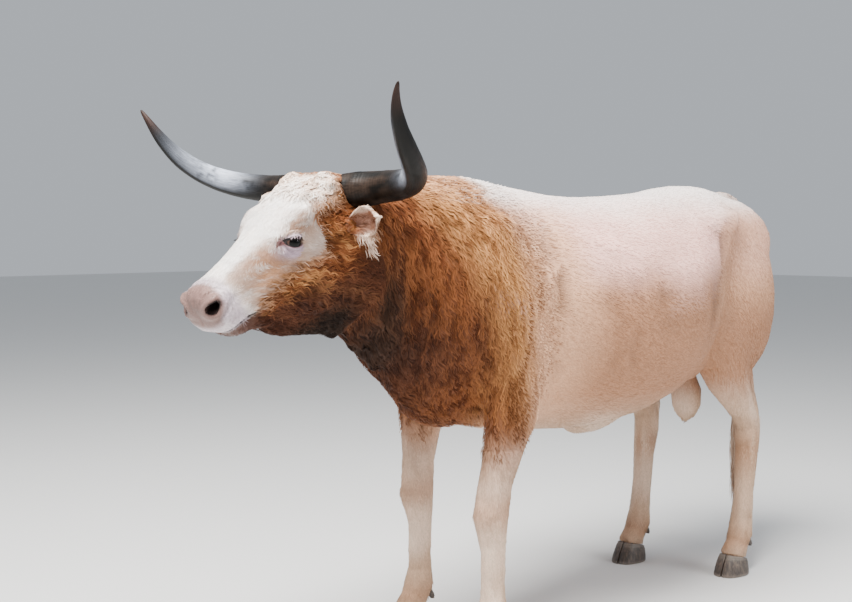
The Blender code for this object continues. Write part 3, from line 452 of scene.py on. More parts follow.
# How far the hide stands out or falls in
def reliefOf(points):
    form = reliefForm
    place = stance(points)
    x, y, z = place[:, 0], place[:, 1], place[:, 2]
    along, over, across = headFrame(points)
    onHead = headShare(points)
    body = 1 - onHead
    out = np.zeros(len(points))
    wander = (layered(points, 0.09, 3) - 0.5) * 2
    # girth crease and the shoulder's swell before it
    crease = -0.362 + 0.020 * wander * 0.6
    high = smoothStep(z, 0.80, 0.92) * (1 - smoothStep(z, 1.24, 1.34)) * (across > 0.08)
    swell = form["girthSwell"] * band(y, crease - 0.040, 0.030)
    out += body * high * (swell - form["girthDeep"] * band(y, crease, 0.015))
    # upright wrinkles of the lower barrel
    wrinkle = np.sin(2 * math.pi * (y + 0.05 * (z - 1.0) + 0.010 * wander) / form["wrinkleGap"])
    where = smoothStep(y, -0.33, -0.27) * (1 - smoothStep(y, 0.10, 0.30))
    where = where * smoothStep(z, 0.78, 0.86) * (1 - smoothStep(z, 1.06, 1.16))
    out += body * where * form["wrinkle"] * wrinkle * (0.5 + noise(points, 0.06, 5))
    # flank before the thigh
    flankLine = y - flankCrease(z)
    high = smoothStep(z, 0.90, 1.00) * (1 - smoothStep(z, 1.28, 1.36)) * (np.abs(x) > 0.12)
    swell = form["flankSwell"] * band(flankLine, 0.055, 0.035)
    out += body * high * (swell - form["flankDeep"] * band(flankLine, 0.0, 0.018))
    # ribs
    rib = np.sin(2 * math.pi * (y - 0.30 * (z - 1.1) + 0.012 * wander) / form["ribGap"])
    where = smoothStep(y, -0.28, -0.15) * (1 - smoothStep(y, 0.38, 0.50))
    where = where * smoothStep(z, 0.95, 1.06) * (1 - smoothStep(z, 1.22, 1.30))
    out += body * where * form["rib"] * rib
    # upright folds of the neck, deepest behind the jaw
    fold = np.sin(2 * math.pi * (y + 0.22 * (z - 1.1) + 0.020 * wander) / form["foldGap"])
    where = (1 - smoothStep(y, -0.86, -0.62)) * smoothStep(y, -1.06, -0.98) * (1 - smoothStep(z, 1.20, 1.34))
    out += body * where * form["fold"] * fold
    # thin folds of the throat and dewlap
    pleat = np.sin(2 * math.pi * (y + 0.5 * z + 0.015 * wander) / form["pleatGap"])
    where = (1 - smoothStep(z, 0.88, 1.0)) * (1 - smoothStep(y, -0.72, -0.60)) * (z > 0.6)
    out += where * form["pleat"] * pleat
    # lips
    line = np.interp(along, [m[0] for m in mouthLine], [m[1] for m in mouthLine])
    gap = over - line
    onLips = smoothStep(along, 0.396, 0.412) * (z > 0.9) * (z < 1.2)
    rolls = 0.0016 * band(gap, 0.007, 0.005) + 0.0014 * band(gap, -0.007, 0.005)
    out += onLips * (rolls - form["lipDeep"] * band(gap, 0, 0.0022))
    # wrinkles round the nostril and behind the corner of the mouth
    folded = points.copy()
    folded[:, 0] = np.abs(folded[:, 0])
    ring = np.linalg.norm(folded - np.array(nostrilMiddle), axis=1)
    ripple = np.sin(2 * math.pi * ring / 0.0095 + 2 * wander)
    out += onHead * 0.0012 * ripple * band(ring, 0.040, 0.012) * (along < 0.52)
    nx, ny, nz = nostrilFrame(points)
    wing = np.hypot(nx / nostrilForm["halfLong"], ny / nostrilForm["halfTall"])
    out += onHead * (np.abs(nz) < 0.04) * (0.0022 * band(wing, 1.60, 0.34) - 0.0014 * band(wing, 2.35, 0.34))
    out += onHead * -0.0030 * band(x, 0, 0.0028) * smoothStep(along, 0.485, 0.505) * (over < -0.035)
    corner = np.hypot(along - 0.404, over + 0.157)
    out += onHead * 0.0014 * np.sin(2 * math.pi * corner / 0.012 + wander) * band(corner, 0.020, 0.012)
    # loose skin round the eye
    ex, ey, ez = eyeFrame(points)
    d = slitDistance(ex, ey - 0.001)
    out += onHead * (ez > 0) * 0.0010 * np.sin(2 * math.pi * d / 0.0075 + 2.5 * wander) * band(d, 0.020, 0.009)
    # knees, hocks and the tendons of the lower legs
    lower = 1 - smoothStep(z, 0.50, 0.60)
    out += lower * 0.0010 * (layered(points, (0.05, 0.05, 0.03), 9) - 0.5) * 2
    return out


points = readPoints(skin.data)
normals = readNormals(skin.data)
along, over, across = headFrame(points)
place = stance(points)
onHead = headShare(points)
onNeck = (1 - smoothStep(place[:, 1], -0.62, -0.40)) * (place[:, 2] > 0.62)
depth = mix([skinForm["coatOnBody"]], [skinForm["coatOnNeck"]], onNeck)[:, 0]
depth = depth * (1 - onHead) + skinForm["coatOnFace"] * onHead
depth += 0.006 * onHead * (1 - smoothStep(along, 0.06, 0.14)) * smoothStep(over, -0.06, -0.02)
lower = 1 - smoothStep(place[:, 2], 0.50, 0.62)
depth = depth * (1 - lower) + skinForm["coatOnLegs"] * lower
depth *= 1 - 0.8 * smoothStep(along, 0.44, 0.48) * (place[:, 2] > 0.9)
relief = reliefOf(points)
points = points + normals * (relief - depth)[:, None]
points = shapeLids(points)
writePoints(skin.data, points)


earForm = {
    "root": (0.100, -0.125, 0.112),
    "run": Vector((0.96, -0.02, 0.20)).normalized(),
    "length": 0.162,
    "width": 0.080,
    "thick": 0.0046,
    "stalk": 0.0205,
    "voxel": 0.0016,
}
earRoot = headPoint(*earForm["root"])
earOpening = Vector((0.05, -1, -0.22))
earOpening = (earOpening - earForm["run"] * earOpening.dot(earForm["run"])).normalized()
earDown = earForm["run"].cross(earOpening)


# t runs from root to tip, k from the upper to the lower rim
def earPoint(t, k, lift=0.0):
    rise = 0.44 + 0.56 * math.sin(math.pi / 2 * min(t / 0.45, 1))
    fall = math.cos(math.pi / 2 * max(t - 0.45, 0) / 0.55) ** 0.75
    half = max(earForm["width"] / 2 * rise * fall, 0.003)
    deep = 0.030 * (1 - t) + 0.007
    back = deep * (math.sqrt(max(1 - 0.9 * k * k, 0)) - 0.3)
    bow = 0.012 * math.sin(math.pi * t) - 0.020 * t * t
    far = 0.026 + (earForm["length"] - 0.026) * t - 0.012 * k * k * t
    rib = 0.0012 * math.sin(9 * k + 1.5 * t) * math.sin(math.pi * min(t * 1.2, 1)) * (1 - k * k)
    return earRoot + earForm["run"] * far + earDown * half * k - earOpening * (back + bow + rib - lift)


# A grid laid on the leaf, thickened and melted into its stalk
def makeEar():
    columns, rows = 22, 34
    bpy.ops.object.select_all(action="DESELECT")
    bpy.ops.mesh.primitive_grid_add(x_subdivisions=columns, y_subdivisions=rows, size=2, location=(0, 0, 0))
    leaf = bpy.context.object
    for v in leaf.data.vertices:
        v.co = earPoint((v.co.y + 1) / 2, v.co.x)
    wall = leaf.modifiers.new("wall", "SOLIDIFY")
    wall.thickness = earForm["thick"]
    wall.offset = 0
    applyAll(leaf)
    spin = earForm["run"].to_track_quat("Z", "Y").to_euler()
    bpy.ops.mesh.primitive_cylinder_add(
        vertices=24,
        radius=earForm["stalk"],
        depth=0.058,
        location=earRoot + earForm["run"] * 0.004 - earOpening * 0.012,
        rotation=spin,
    )
    stalk = bpy.context.object
    bpy.ops.object.transform_apply(location=True, rotation=True, scale=True)
    ear = joinAll([leaf, stalk], "ear")
    melt = ear.modifiers.new("melt", "REMESH")
    melt.mode = "VOXEL"
    melt.voxel_size = earForm["voxel"]
    calm = ear.modifiers.new("calm", "SMOOTH")
    calm.factor = 0.5
    calm.iterations = 5
    few = ear.modifiers.new("few", "DECIMATE")
    few.ratio = 0.5
    applyAll(ear)
    return ear


def mirrorCopy(obj, name):
    mesh = obj.data.copy()
    mesh.transform(Matrix.Diagonal((-1, 1, 1, 1)))
    mesh.flip_normals()
    made = bpy.data.objects.new(name, mesh)
    bpy.context.scene.collection.objects.link(made)
    return made


earLeft = makeEar()
earRight = mirrorCopy(earLeft, "earRight")
for ear in (earLeft, earRight):
    weld = skin.modifiers.new("weld", "BOOLEAN")
    weld.operation = "UNION"
    weld.solver = "MANIFOLD"
    weld.object = ear
    applyAll(skin)
    bpy.data.objects.remove(ear)
for side in (1, -1):
    cutter = nostrilCutter(side)
    carve = skin.modifiers.new("carve", "BOOLEAN")
    carve.operation = "DIFFERENCE"
    carve.solver = "MANIFOLD"
    carve.object = cutter
    applyAll(skin)
    bpy.data.objects.remove(cutter)
print("skin with ears", len(skin.data.polygons))
for polygon in skin.data.polygons:
    polygon.use_smooth = True


hideTones = {
    "white": (0.88, 0.83, 0.79),
    "cream": (0.70, 0.52, 0.40),
    "barrel": (0.86, 0.50, 0.42),
    "sand": (0.62, 0.34, 0.20),
    "tan": (0.33, 0.155, 0.075),
    "golden": (0.40, 0.175, 0.058),
    "russet": (0.170, 0.053, 0.017),
    "deepRusset": (0.062, 0.020, 0.009),
    # near-black: dark hair deepened with painted shade under the throat, painted shadow under the jaw and in the
    # fold behind it
    "throat": (0.010, 0.006, 0.004),
    # painted shade for the side of the face, the upper lid and the brow
    "faceShade": (0.42, 0.300, 0.240),
    "lavender": (0.38, 0.285, 0.335),
    "nosePad": (0.165, 0.098, 0.084),
    # near-black: painted shade inside the nostril
    "nostril": (0.010, 0.005, 0.004),
    "lidPink": (0.28, 0.085, 0.075),
    # near-black: dark lid margins and painted shade in the crease between the lips
    "darkRimAndCreaseShade": (0.009, 0.006, 0.006),
    "earInside": (0.30, 0.150, 0.100),
    "leg": (0.50, 0.33, 0.22),
}
tones = {key: np.array(value) for key, value in hideTones.items()}

# where the colours begin and end: the brown's upper edge on the head as along and over, the rest as from and to
hideMap = {
    "brownEdge": (
        (-0.02, 0.03, 0.074, 0.10, 0.130, 0.150, 0.160, 0.172, 0.20, 0.246, 0.327, 0.376, 0.422, 0.45, 0.49),
        (
            0.00, -0.026, -0.046, -0.036, -0.026, -0.034, -0.090, -0.150,
            -0.142, -0.124, -0.124, -0.130, -0.158, -0.19, -0.23,
        ),
    ),
    "neckEnd": (-0.48, -0.33),
    "backWhite": (1.24, 1.40),
    "lowTanAndShade": (1.03, 1.19),
    "legTop": (0.58, 0.76),
    "muzzle": (0.435, 0.462),
    "nosePad": (0.486, 0.504),
}


# Out along the ear, down across it and out of its opening
def earFrame(points):
    folded = points.copy()
    folded[:, 0] = np.abs(folded[:, 0])
    rel = folded - np.array(earRoot)
    return rel @ np.array(earForm["run"]), rel @ np.array(earDown), rel @ np.array(earOpening)


def isEar(points):
    far, down, opened = earFrame(points)
    head = headFrame(points)
    return (far > 0.024) & (far < 0.20) & (np.abs(down) < 0.09) & (np.abs(opened) < 0.06) & (head[2] > 0.125)


# How far the brown of the cheeks and of the neck covers a point
def russetParts(points):
    along, over, _ = headFrame(points)
    place = stance(points)
    y, z = place[:, 1], place[:, 2]
    edge = np.interp(along, *hideMap["brownEdge"])
    ragged = (layered(points, (0.05, 0.03, 0.012), 21) - 0.5) * 0.045
    head = 1 - smoothStep(over + ragged - edge, -0.022, 0.022)
    head = head * (1 - smoothStep(along, 0.455, 0.485))
    slant = 0.50 * np.clip(z - 1.17, 0, 0.3)
    neckTop = 1 - smoothStep(y + slant + (layered(points, 0.08, 22) - 0.5) * 0.10, *hideMap["neckEnd"])
    return head, neckTop * smoothStep(z, 0.44, 0.74)


def russetShare(points):
    head, neck = russetParts(points)
    onHead = headShare(points)
    return head * onHead + neck * (1 - onHead)


# White along the back, pinkish cream on the barrel, tan below, the tan deepened with painted shade on the
# underside
def trunkColour(points, broad, fine):
    place = stance(points)
    y, z = place[:, 1], place[:, 2]
    tone = mix(tones["barrel"], tones["white"], 0.9 * smoothStep(z + 0.06 * (broad - 0.5), *hideMap["backWhite"]))
    # tan low on the barrel: real tan with painted shade of the underside
    tone = mix(tone, tones["tan"], 0.95 * (1 - smoothStep(z + 0.12 * (broad - 0.5), *hideMap["lowTanAndShade"])))
    tone = mix(
        tone,
        tones["sand"],
        0.85 * (1 - smoothStep(y + 0.05 * (fine - 0.5), -0.32, -0.16)) * (1 - smoothStep(z, 1.26, 1.38)),
    )
    flankLine = y - flankCrease(z)
    rear = smoothStep(flankLine, -0.004, 0.030)
    tone = mix(tone, tones["sand"], 0.70 * rear * smoothStep(z, 0.9, 1.1) * (1 - smoothStep(z, 1.28, 1.36)))
    # tan in the middle of the thigh: real tan deepened with painted shade
    tone = mix(tone, tones["tan"], 0.66 * rear * band(z, 1.15, 0.15) * band(flankLine, 0.12, 0.12))
    girthLine = y + 0.348 + 0.13 * (1.20 - z)
    sides = (np.abs(place[:, 0]) > 0.12) * (1 - smoothStep(z, 1.26, 1.34))
    # painted shade along the flank crease and the girth crease
    tone = mix(
        tone, tones["tan"] * 0.7, 0.75 * sides * band(flankLine, 0.004, 0.016) * smoothStep(z, 0.92, 1.02)
    )
    tone = mix(tone, tones["tan"] * 0.7, 0.70 * sides * band(girthLine, 0.0, 0.013) * smoothStep(z, 0.84, 0.94))
    tone = mix(
        tone,
        tones["tan"],
        0.55 * smoothStep(y, 0.86, 0.98) * band(np.abs(place[:, 0]), 0, 0.09) * smoothStep(z, 1.28, 1.36),
    )
    # lower legs
    leg = 1 - smoothStep(z, *hideMap["legTop"])
    legTone = mix(tones["leg"], tones["cream"], smoothStep(broad, 0.35, 0.7))
    legTone = mix(legTone, tones["tan"], 0.6 * band(z, 0.45, 0.06) + 0.5 * band(z, 0.12, 0.04))
    tone = mix(tone, legTone, leg)
    return tone


def neckColour(points, broad, fine):
    place = stance(points)
    y, z = place[:, 1], place[:, 2]
    front = -y - 0.35 * np.clip(z - 1.17, 0, 0.3) + 0.05 * (broad - 0.5) + 0.06 * (fine - 0.5)
    neckTone = mix(tones["sand"], tones["golden"], smoothStep(front, 0.40, 0.54))
    neckTone = mix(neckTone, tones["russet"], smoothStep(front + 0.40 * (1.18 - z), 0.58, 0.79))
    neckTone = mix(
        neckTone, tones["sand"], 0.8 * smoothStep(z, 1.32, 1.44) * (1 - smoothStep(front, 0.62, 0.90))
    )
    neckTone = mix(neckTone, tones["tan"], 0.55 * band(front, 0.45, 0.13) * smoothStep(z, 1.18, 1.30))
    low = 1 - smoothStep(z + 0.1 * (fine - 0.5), 0.90, 1.12)
    neckTone = mix(neckTone, tones["deepRusset"], smoothStep(-y, 0.56, 0.84) * low)
    # near-black low on the front of the neck: dark hair deepened with painted shade on the underside
    neckTone = mix(
        neckTone, tones["throat"], smoothStep(-y, 0.78, 0.92) * (1 - smoothStep(z, 0.90, 1.06)) * 0.8
    )
    # painted shadow in the deep upright fold behind the jaw
    neckTone = mix(
        neckTone,
        tones["throat"] * 2.2,
        0.88 * band(y + 0.25 * (z - 1.08), -0.940, 0.055) * band(z, 1.06, 0.15),
    )
    return neckTone


def headColour(points, normals, fine, russet):
    along, over, across = headFrame(points)
    face = mix(
        tones["white"],
        tones["cream"],
        0.60 * (1 - smoothStep(along, 0.06, 0.17)) + 0.22 * smoothStep(fine, 0.4, 0.8),
    )
    # painted shade on the side of the face, set by which way the skin faces
    sideShade = smoothStep(np.abs(normals[:, 0]) + 0.25 * (fine - 0.5), 0.50, 0.85)
    sideShade = sideShade * smoothStep(along, 0.10, 0.18)
    wisps = layered(points, (0.030, 0.045, 0.009), 37)
    face = mix(face, tones["faceShade"], (0.60 + 0.40 * wisps) * sideShade * (1 - smoothStep(along, 0.42, 0.47)))
    # tan and golden streaks before the eye on side-facing skin: real streaks, partly painted shade
    flank = smoothStep(np.abs(normals[:, 0]), 0.30, 0.70) * (along > 0.16)
    face = mix(
        face,
        tones["tan"],
        0.90 * flank * band(along, 0.325, 0.100) * band(over, -0.070, 0.066) * smoothStep(wisps, 0.28, 0.56),
    )
    face = mix(
        face,
        tones["golden"],
        0.50 * flank * band(along, 0.350, 0.075) * band(over, -0.105, 0.036) * smoothStep(wisps, 0.30, 0.70),
    )
    # tan wisps over the brow, partly painted shade under the brow
    brow = band(along, 0.200, 0.065) * band(over, -0.036, 0.034) * smoothStep(np.abs(across), 0.06, 0.09)
    face = mix(face, tones["tan"], 0.80 * brow * smoothStep(wisps, 0.25, 0.58))
    face = mix(
        face,
        tones["golden"],
        0.42 * (1 - smoothStep(along, 0.08, 0.16)) * smoothStep(fine + 0.6 * wisps, 0.70, 1.10),
    )
    cheek = mix(
        tones["russet"],
        tones["golden"],
        0.65 * smoothStep(layered(points, (0.03, 0.05, 0.010), 35), 0.48, 0.75),
    )
    cheek = mix(cheek, tones["deepRusset"], 0.88 * (1 - smoothStep(over + 0.06 * (fine - 0.5), -0.25, -0.16)))
    # painted shadow under the jaw
    jawShadow = (1 - smoothStep(over + 0.03 * (fine - 0.5), -0.315, -0.235)) * smoothStep(along, 0.14, 0.22)
    cheek = mix(
        cheek,
        tones["deepRusset"],
        0.92 * smoothStep(along, 0.22, 0.31) * (1 - smoothStep(over + 0.03 * (fine - 0.5), -0.190, -0.138)),
    )
    cheek = mix(cheek, tones["throat"], 0.92 * jawShadow)
    edge = russet * (1 - russet) * 4
    headTone = mix(face, cheek, russet)
    headTone = mix(headTone, tones["golden"], 0.55 * edge)
    return headTone


# The bare skin over the head's coat: below the eye, muzzle, nose pad, nostrils, lips and lids
def bareColour(points, headTone, broad, fine):
    along, over, _ = headFrame(points)
    ex, ey, ez = eyeFrame(points)
    d = slitDistance(ex, ey - 0.001)
    below = band(ex, 0.000, 0.036) * band(ey, -0.024, 0.019) * (ez > 0)
    headTone = mix(headTone, tones["lavender"] * 1.25, np.clip(below * 1.5, 0, 1))
    # painted shade on the upper lid under the brow
    lidTopShade = (ey > 0) * (ez > 0) * band(d, 0.012, 0.0055)
    headTone = mix(headTone, tones["faceShade"], 0.55 * lidTopShade)
    headTone = mix(headTone, tones["lavender"], (1 - smoothStep(d, 0.006, 0.016)) * (ez > 0) * 0.9)
    speckle = smoothStep(noise(points, 0.0042, 36), 0.62, 0.85)
    muzzle = smoothStep(along + 0.02 * (fine - 0.5), *hideMap["muzzle"])
    lip = mix(tones["lavender"], tones["white"], 0.10 + 0.3 * fine)
    lip = mix(lip, tones["nosePad"], 0.42 * speckle)
    headTone = mix(headTone, lip, muzzle)
    pad = smoothStep(along + 0.55 * (over + 0.05) + 0.012 * (fine - 0.5), *hideMap["nosePad"])
    headTone = mix(headTone, tones["nosePad"] * (0.75 + 0.8 * broad)[:, None], pad)
    folded = points.copy()
    folded[:, 0] = np.abs(folded[:, 0])
    ring = np.linalg.norm(folded - np.array(nostrilMiddle), axis=1)
    headTone = mix(headTone, tones["nosePad"] * 1.15, (1 - smoothStep(ring, 0.026, 0.038)) * 0.8)
    # painted shade inside the nostril
    headTone = mix(headTone, tones["nostril"], nostrilShare(points))
    line = np.interp(along, [m[0] for m in mouthLine], [m[1] for m in mouthLine])
    onLips = smoothStep(along, 0.400, 0.415)
    # painted shade in the crease between the lips
    headTone = mix(headTone, tones["darkRimAndCreaseShade"], onLips * band(over - line, 0, 0.003) * 0.9)
    # painted shadow below the lower lip
    chinShadow = onLips * (over < line) * smoothStep(line - over, 0.001, 0.007)
    headTone = mix(headTone, tones["deepRusset"], 0.97 * chinShadow)
    # lid margins
    corner = band(ex, 0.032, 0.012) * band(ey, -0.002, 0.012) * (ez > 0)
    headTone = mix(headTone, tones["lidPink"] * 0.30, np.clip(corner * 1.25, 0, 0.92))
    headTone = mix(
        headTone, tones["lidPink"] * 0.9, 0.55 * (1 - smoothStep(d, 0.002, 0.006)) * (ey < 0) * (ez > 0)
    )
    # dark lid margins: dark skin deepened with painted shade in the slit
    headTone = mix(
        headTone, tones["darkRimAndCreaseShade"], (1 - smoothStep(d - 0.0022 * (ey > 0), 0.0012, 0.0034)) * (ez > 0)
    )
    return headTone


def earColour(points, normals, fine):
    far, down, _ = earFrame(points)
    rimmed = smoothStep(np.abs(down), 0.020, 0.034) + smoothStep(far, 0.12, 0.15)
    folds = normals.copy()
    folds[:, 0] = np.where(points[:, 0] < 0, -folds[:, 0], folds[:, 0])
    facing = smoothStep(folds @ np.array(earOpening), -0.1, 0.35)
    earTone = mix(tones["russet"], tones["golden"], fine)
    earTone = mix(earTone, mix(tones["earInside"], tones["russet"], smoothStep(fine, 0.45, 0.75)), facing)
    earTone = mix(earTone, tones["cream"], np.clip(rimmed, 0, 1) * 0.85)
    return earTone


def hideColour(points, normals):
    broad = layered(points, 0.16, 31)
    fine = layered(points, 0.035, 32)
    russet, onNeck = russetParts(points)
    tone = mix(trunkColour(points, broad, fine), neckColour(points, broad, fine), onNeck)
    headTone = bareColour(points, headColour(points, normals, fine, russet), broad, fine)
    tone = mix(tone, headTone, headShare(points))
    tone = np.where(isEar(points)[:, None], earColour(points, normals, fine), tone)
    return tone * (0.90 + 0.2 * fine)[:, None]


# 1 inside the nostril, less towards its rim
def nostrilShare(points):
    x, y, z = nostrilFrame(points)
    ring = np.hypot(x / nostrilForm["halfLong"], (y - 0.002) / nostrilForm["halfTall"])
    return (1 - smoothStep(ring, 0.85, 1.35)) * (np.abs(z) < 0.05)


# 0 under the coat, 1 on the muzzle and lids
def bareShare(points):
    along = headFrame(points)[0]
    high = points[:, 2] > 0.9
    muzzle = smoothStep(along, 0.45, 0.48) * high
    ex, ey, ez = eyeFrame(points)
    d = slitDistance(ex, ey - 0.001)
    lids = (1 - smoothStep(d, 0.004, 0.009)) * (ez > 0) * high * (np.hypot(ex, ey) < 0.05)
    return np.clip(muzzle + lids, 0, 1)


def paint(mesh, name, colours):
    layer = mesh.color_attributes.new(name, "FLOAT_COLOR", "POINT")
    full = np.ones((len(colours), 4), np.float32)
    full[:, :3] = np.clip(colours, 0, 1)
    layer.data.foreach_set("color", full.ravel())


points = readPoints(skin.data)
normals = readNormals(skin.data)
skinTone = hideColour(points, normals)
# painted shade in the hide's creases and a slight painted highlight on its swells
creaseShade = np.clip(1 + reliefOf(points) / 0.024, 0.60, 1.10)
paint(skin.data, "coatTone", skinTone * creaseShade[:, None])
bare = skin.data.attributes.new("bareness", "FLOAT", "POINT")
bare.data.foreach_set("value", bareShare(points).astype(np.float32))
print("skin painted")


def newMaterial(name):
    made = bpy.data.materials.new(name)
    made.use_nodes = True
    return made, made.node_tree, made.node_tree.nodes["Principled BSDF"]


def addNode(tree, kind, **values):
    made = tree.nodes.new(kind)
    for key, value in values.items():
        if key in made.inputs:
            made.inputs[key].default_value = value
        else:
            setattr(made, key, value)
    return made


def noiseNode(tree, scale, detail, mapping=None):
    where = tree.nodes.new("ShaderNodeTexCoord")
    made = addNode(tree, "ShaderNodeTexNoise", Scale=scale, Detail=detail)
    source = where.outputs["Object"]
    if mapping:
        turned = tree.nodes.new("ShaderNodeMapping")
        turned.inputs["Scale"].default_value = mapping
        tree.links.new(source, turned.inputs["Vector"])
        source = turned.outputs["Vector"]
    tree.links.new(source, made.inputs["Vector"])
    return made


def rampNode(tree, source, low, high, fromLow=0.3, fromHigh=0.7):
    made = tree.nodes.new("ShaderNodeMapRange")
    made.inputs["From Min"].default_value = fromLow
    made.inputs["From Max"].default_value = fromHigh
    made.inputs["To Min"].default_value = low
    made.inputs["To Max"].default_value = high
    tree.links.new(source, made.inputs["Value"])
    return made.outputs["Result"]


# Multiplies a colour by a grey and gives it to the shader
def tinted(tree, shader, colourSource, amount):
    blend = tree.nodes.new("ShaderNodeMix")
    blend.data_type = "RGBA"
    blend.blend_type = "MULTIPLY"
    blend.inputs["Factor"].default_value = 1.0
    tree.links.new(colourSource, blend.inputs["A"])
    tree.links.new(amount, blend.inputs["B"])
    tree.links.new(blend.outputs["Result"], shader.inputs["Base Color"])


def makeHide():
    made, tree, shader = newMaterial("hideSkin")
    tone = addNode(tree, "ShaderNodeAttribute", attribute_name="coatTone")
    bareness = addNode(tree, "ShaderNodeAttribute", attribute_name="bareness")
    hairs = noiseNode(tree, 1.0, 3.0, (420, 90, 160))
    pores = addNode(tree, "ShaderNodeTexVoronoi", Scale=330.0)
    where = tree.nodes.new("ShaderNodeTexCoord")
    tree.links.new(where.outputs["Object"], pores.inputs["Vector"])
    tinted(tree, shader, tone.outputs["Color"], rampNode(tree, hairs.outputs["Fac"], 0.80, 1.14))
    blend = tree.nodes.new("ShaderNodeMix")
    blend.data_type = "FLOAT"
    tree.links.new(bareness.outputs["Fac"], blend.inputs["Factor"])
    tree.links.new(hairs.outputs["Fac"], blend.inputs["A"])
    tree.links.new(pores.outputs["Distance"], blend.inputs["B"])
    bump = addNode(tree, "ShaderNodeBump", Strength=0.5, Distance=0.0012)
    tree.links.new(blend.outputs["Result"], bump.inputs["Height"])
    tree.links.new(bump.outputs["Normal"], shader.inputs["Normal"])
    rough = rampNode(tree, bareness.outputs["Fac"], 0.78, 0.42, 0.0, 1.0)
    tree.links.new(rough, shader.inputs["Roughness"])
    shader.inputs["Sheen Weight"].default_value = 0.03
    shader.inputs["Sheen Roughness"].default_value = 0.5
    shader.inputs["Specular IOR Level"].default_value = 0.25
    return made


def makeCoat(name, rough):
    made, tree, shader = newMaterial(name)
    tone = addNode(tree, "ShaderNodeAttribute", attribute_name="coatTone")
    strands = noiseNode(tree, 900.0, 2.0)
    tinted(tree, shader, tone.outputs["Color"], rampNode(tree, strands.outputs["Fac"], 0.88, 1.12))
    bump = addNode(tree, "ShaderNodeBump", Strength=0.3, Distance=0.0006)
    tree.links.new(strands.outputs["Fac"], bump.inputs["Height"])
    tree.links.new(bump.outputs["Normal"], shader.inputs["Normal"])
    shader.inputs["Roughness"].default_value = rough
    shader.inputs["Sheen Weight"].default_value = 0.01
    shader.inputs["Specular IOR Level"].default_value = 0.09
    return made


hideSkin = makeHide()
coatHair = makeCoat("coatHair", 0.62)
skin.data.materials.clear()
skin.data.materials.append(hideSkin)


def surfaceData(obj):
    mesh = obj.data
    mesh.calc_loop_triangles()
    corners = np.empty(len(mesh.loop_triangles) * 3, np.int32)
    mesh.loop_triangles.foreach_get("vertices", corners)
    corners = corners.reshape(-1, 3)
    points, normals = readPoints(mesh), readNormals(mesh)
    a, b, c = (points[corners[:, k]] for k in range(3))
    area = np.linalg.norm(np.cross(b - a, c - a), axis=1) / 2
    tree = BVHTree.FromPolygons([tuple(p) for p in points], [tuple(t) for t in corners.tolist()])
    return {"points": points, "normals": normals, "corners": corners, "area": area, "tree": tree}


surface = surfaceData(skin)
skinArea = surface["area"].sum()
print("skin area", round(float(skinArea), 3))


# Roots spread evenly, thinned by the share from 0 to 1 that wanted gives
def scatter(wanted, spacing, seed):
    chance = np.random.default_rng(seed)
    corners, area = surface["corners"], surface["area"]
    middles = surface["points"][corners].mean(1)
    share = wanted(middles)
    weight = area * (share > 0.01)
    if weight.sum() <= 0:
        return np.zeros((0, 3)), np.zeros((0, 3))
    count = int(weight.sum() / spacing**2 * 3.0)
    face = chance.choice(len(area), count, p=weight / weight.sum())
    u, v = chance.random(count), chance.random(count)
    over = u + v > 1
    u[over], v[over] = 1 - u[over], 1 - v[over]
    w = 1 - u - v
    tri = corners[face]
    pts, nrm = surface["points"], surface["normals"]
    places = pts[tri[:, 0]] * w[:, None] + pts[tri[:, 1]] * u[:, None] + pts[tri[:, 2]] * v[:, None]
    ups = unit(nrm[tri[:, 0]] * w[:, None] + nrm[tri[:, 1]] * u[:, None] + nrm[tri[:, 2]] * v[:, None])
    cells = np.floor(places / spacing).astype(np.int64)
    key = cells[:, 0] * 4000037 + cells[:, 1] * 2003 + cells[:, 2]
    first = np.unique(key, return_index=True)[1]
    places, ups = places[first], ups[first]
    keep = chance.random(len(places)) < wanted(places)
    return places[keep], ups[keep]


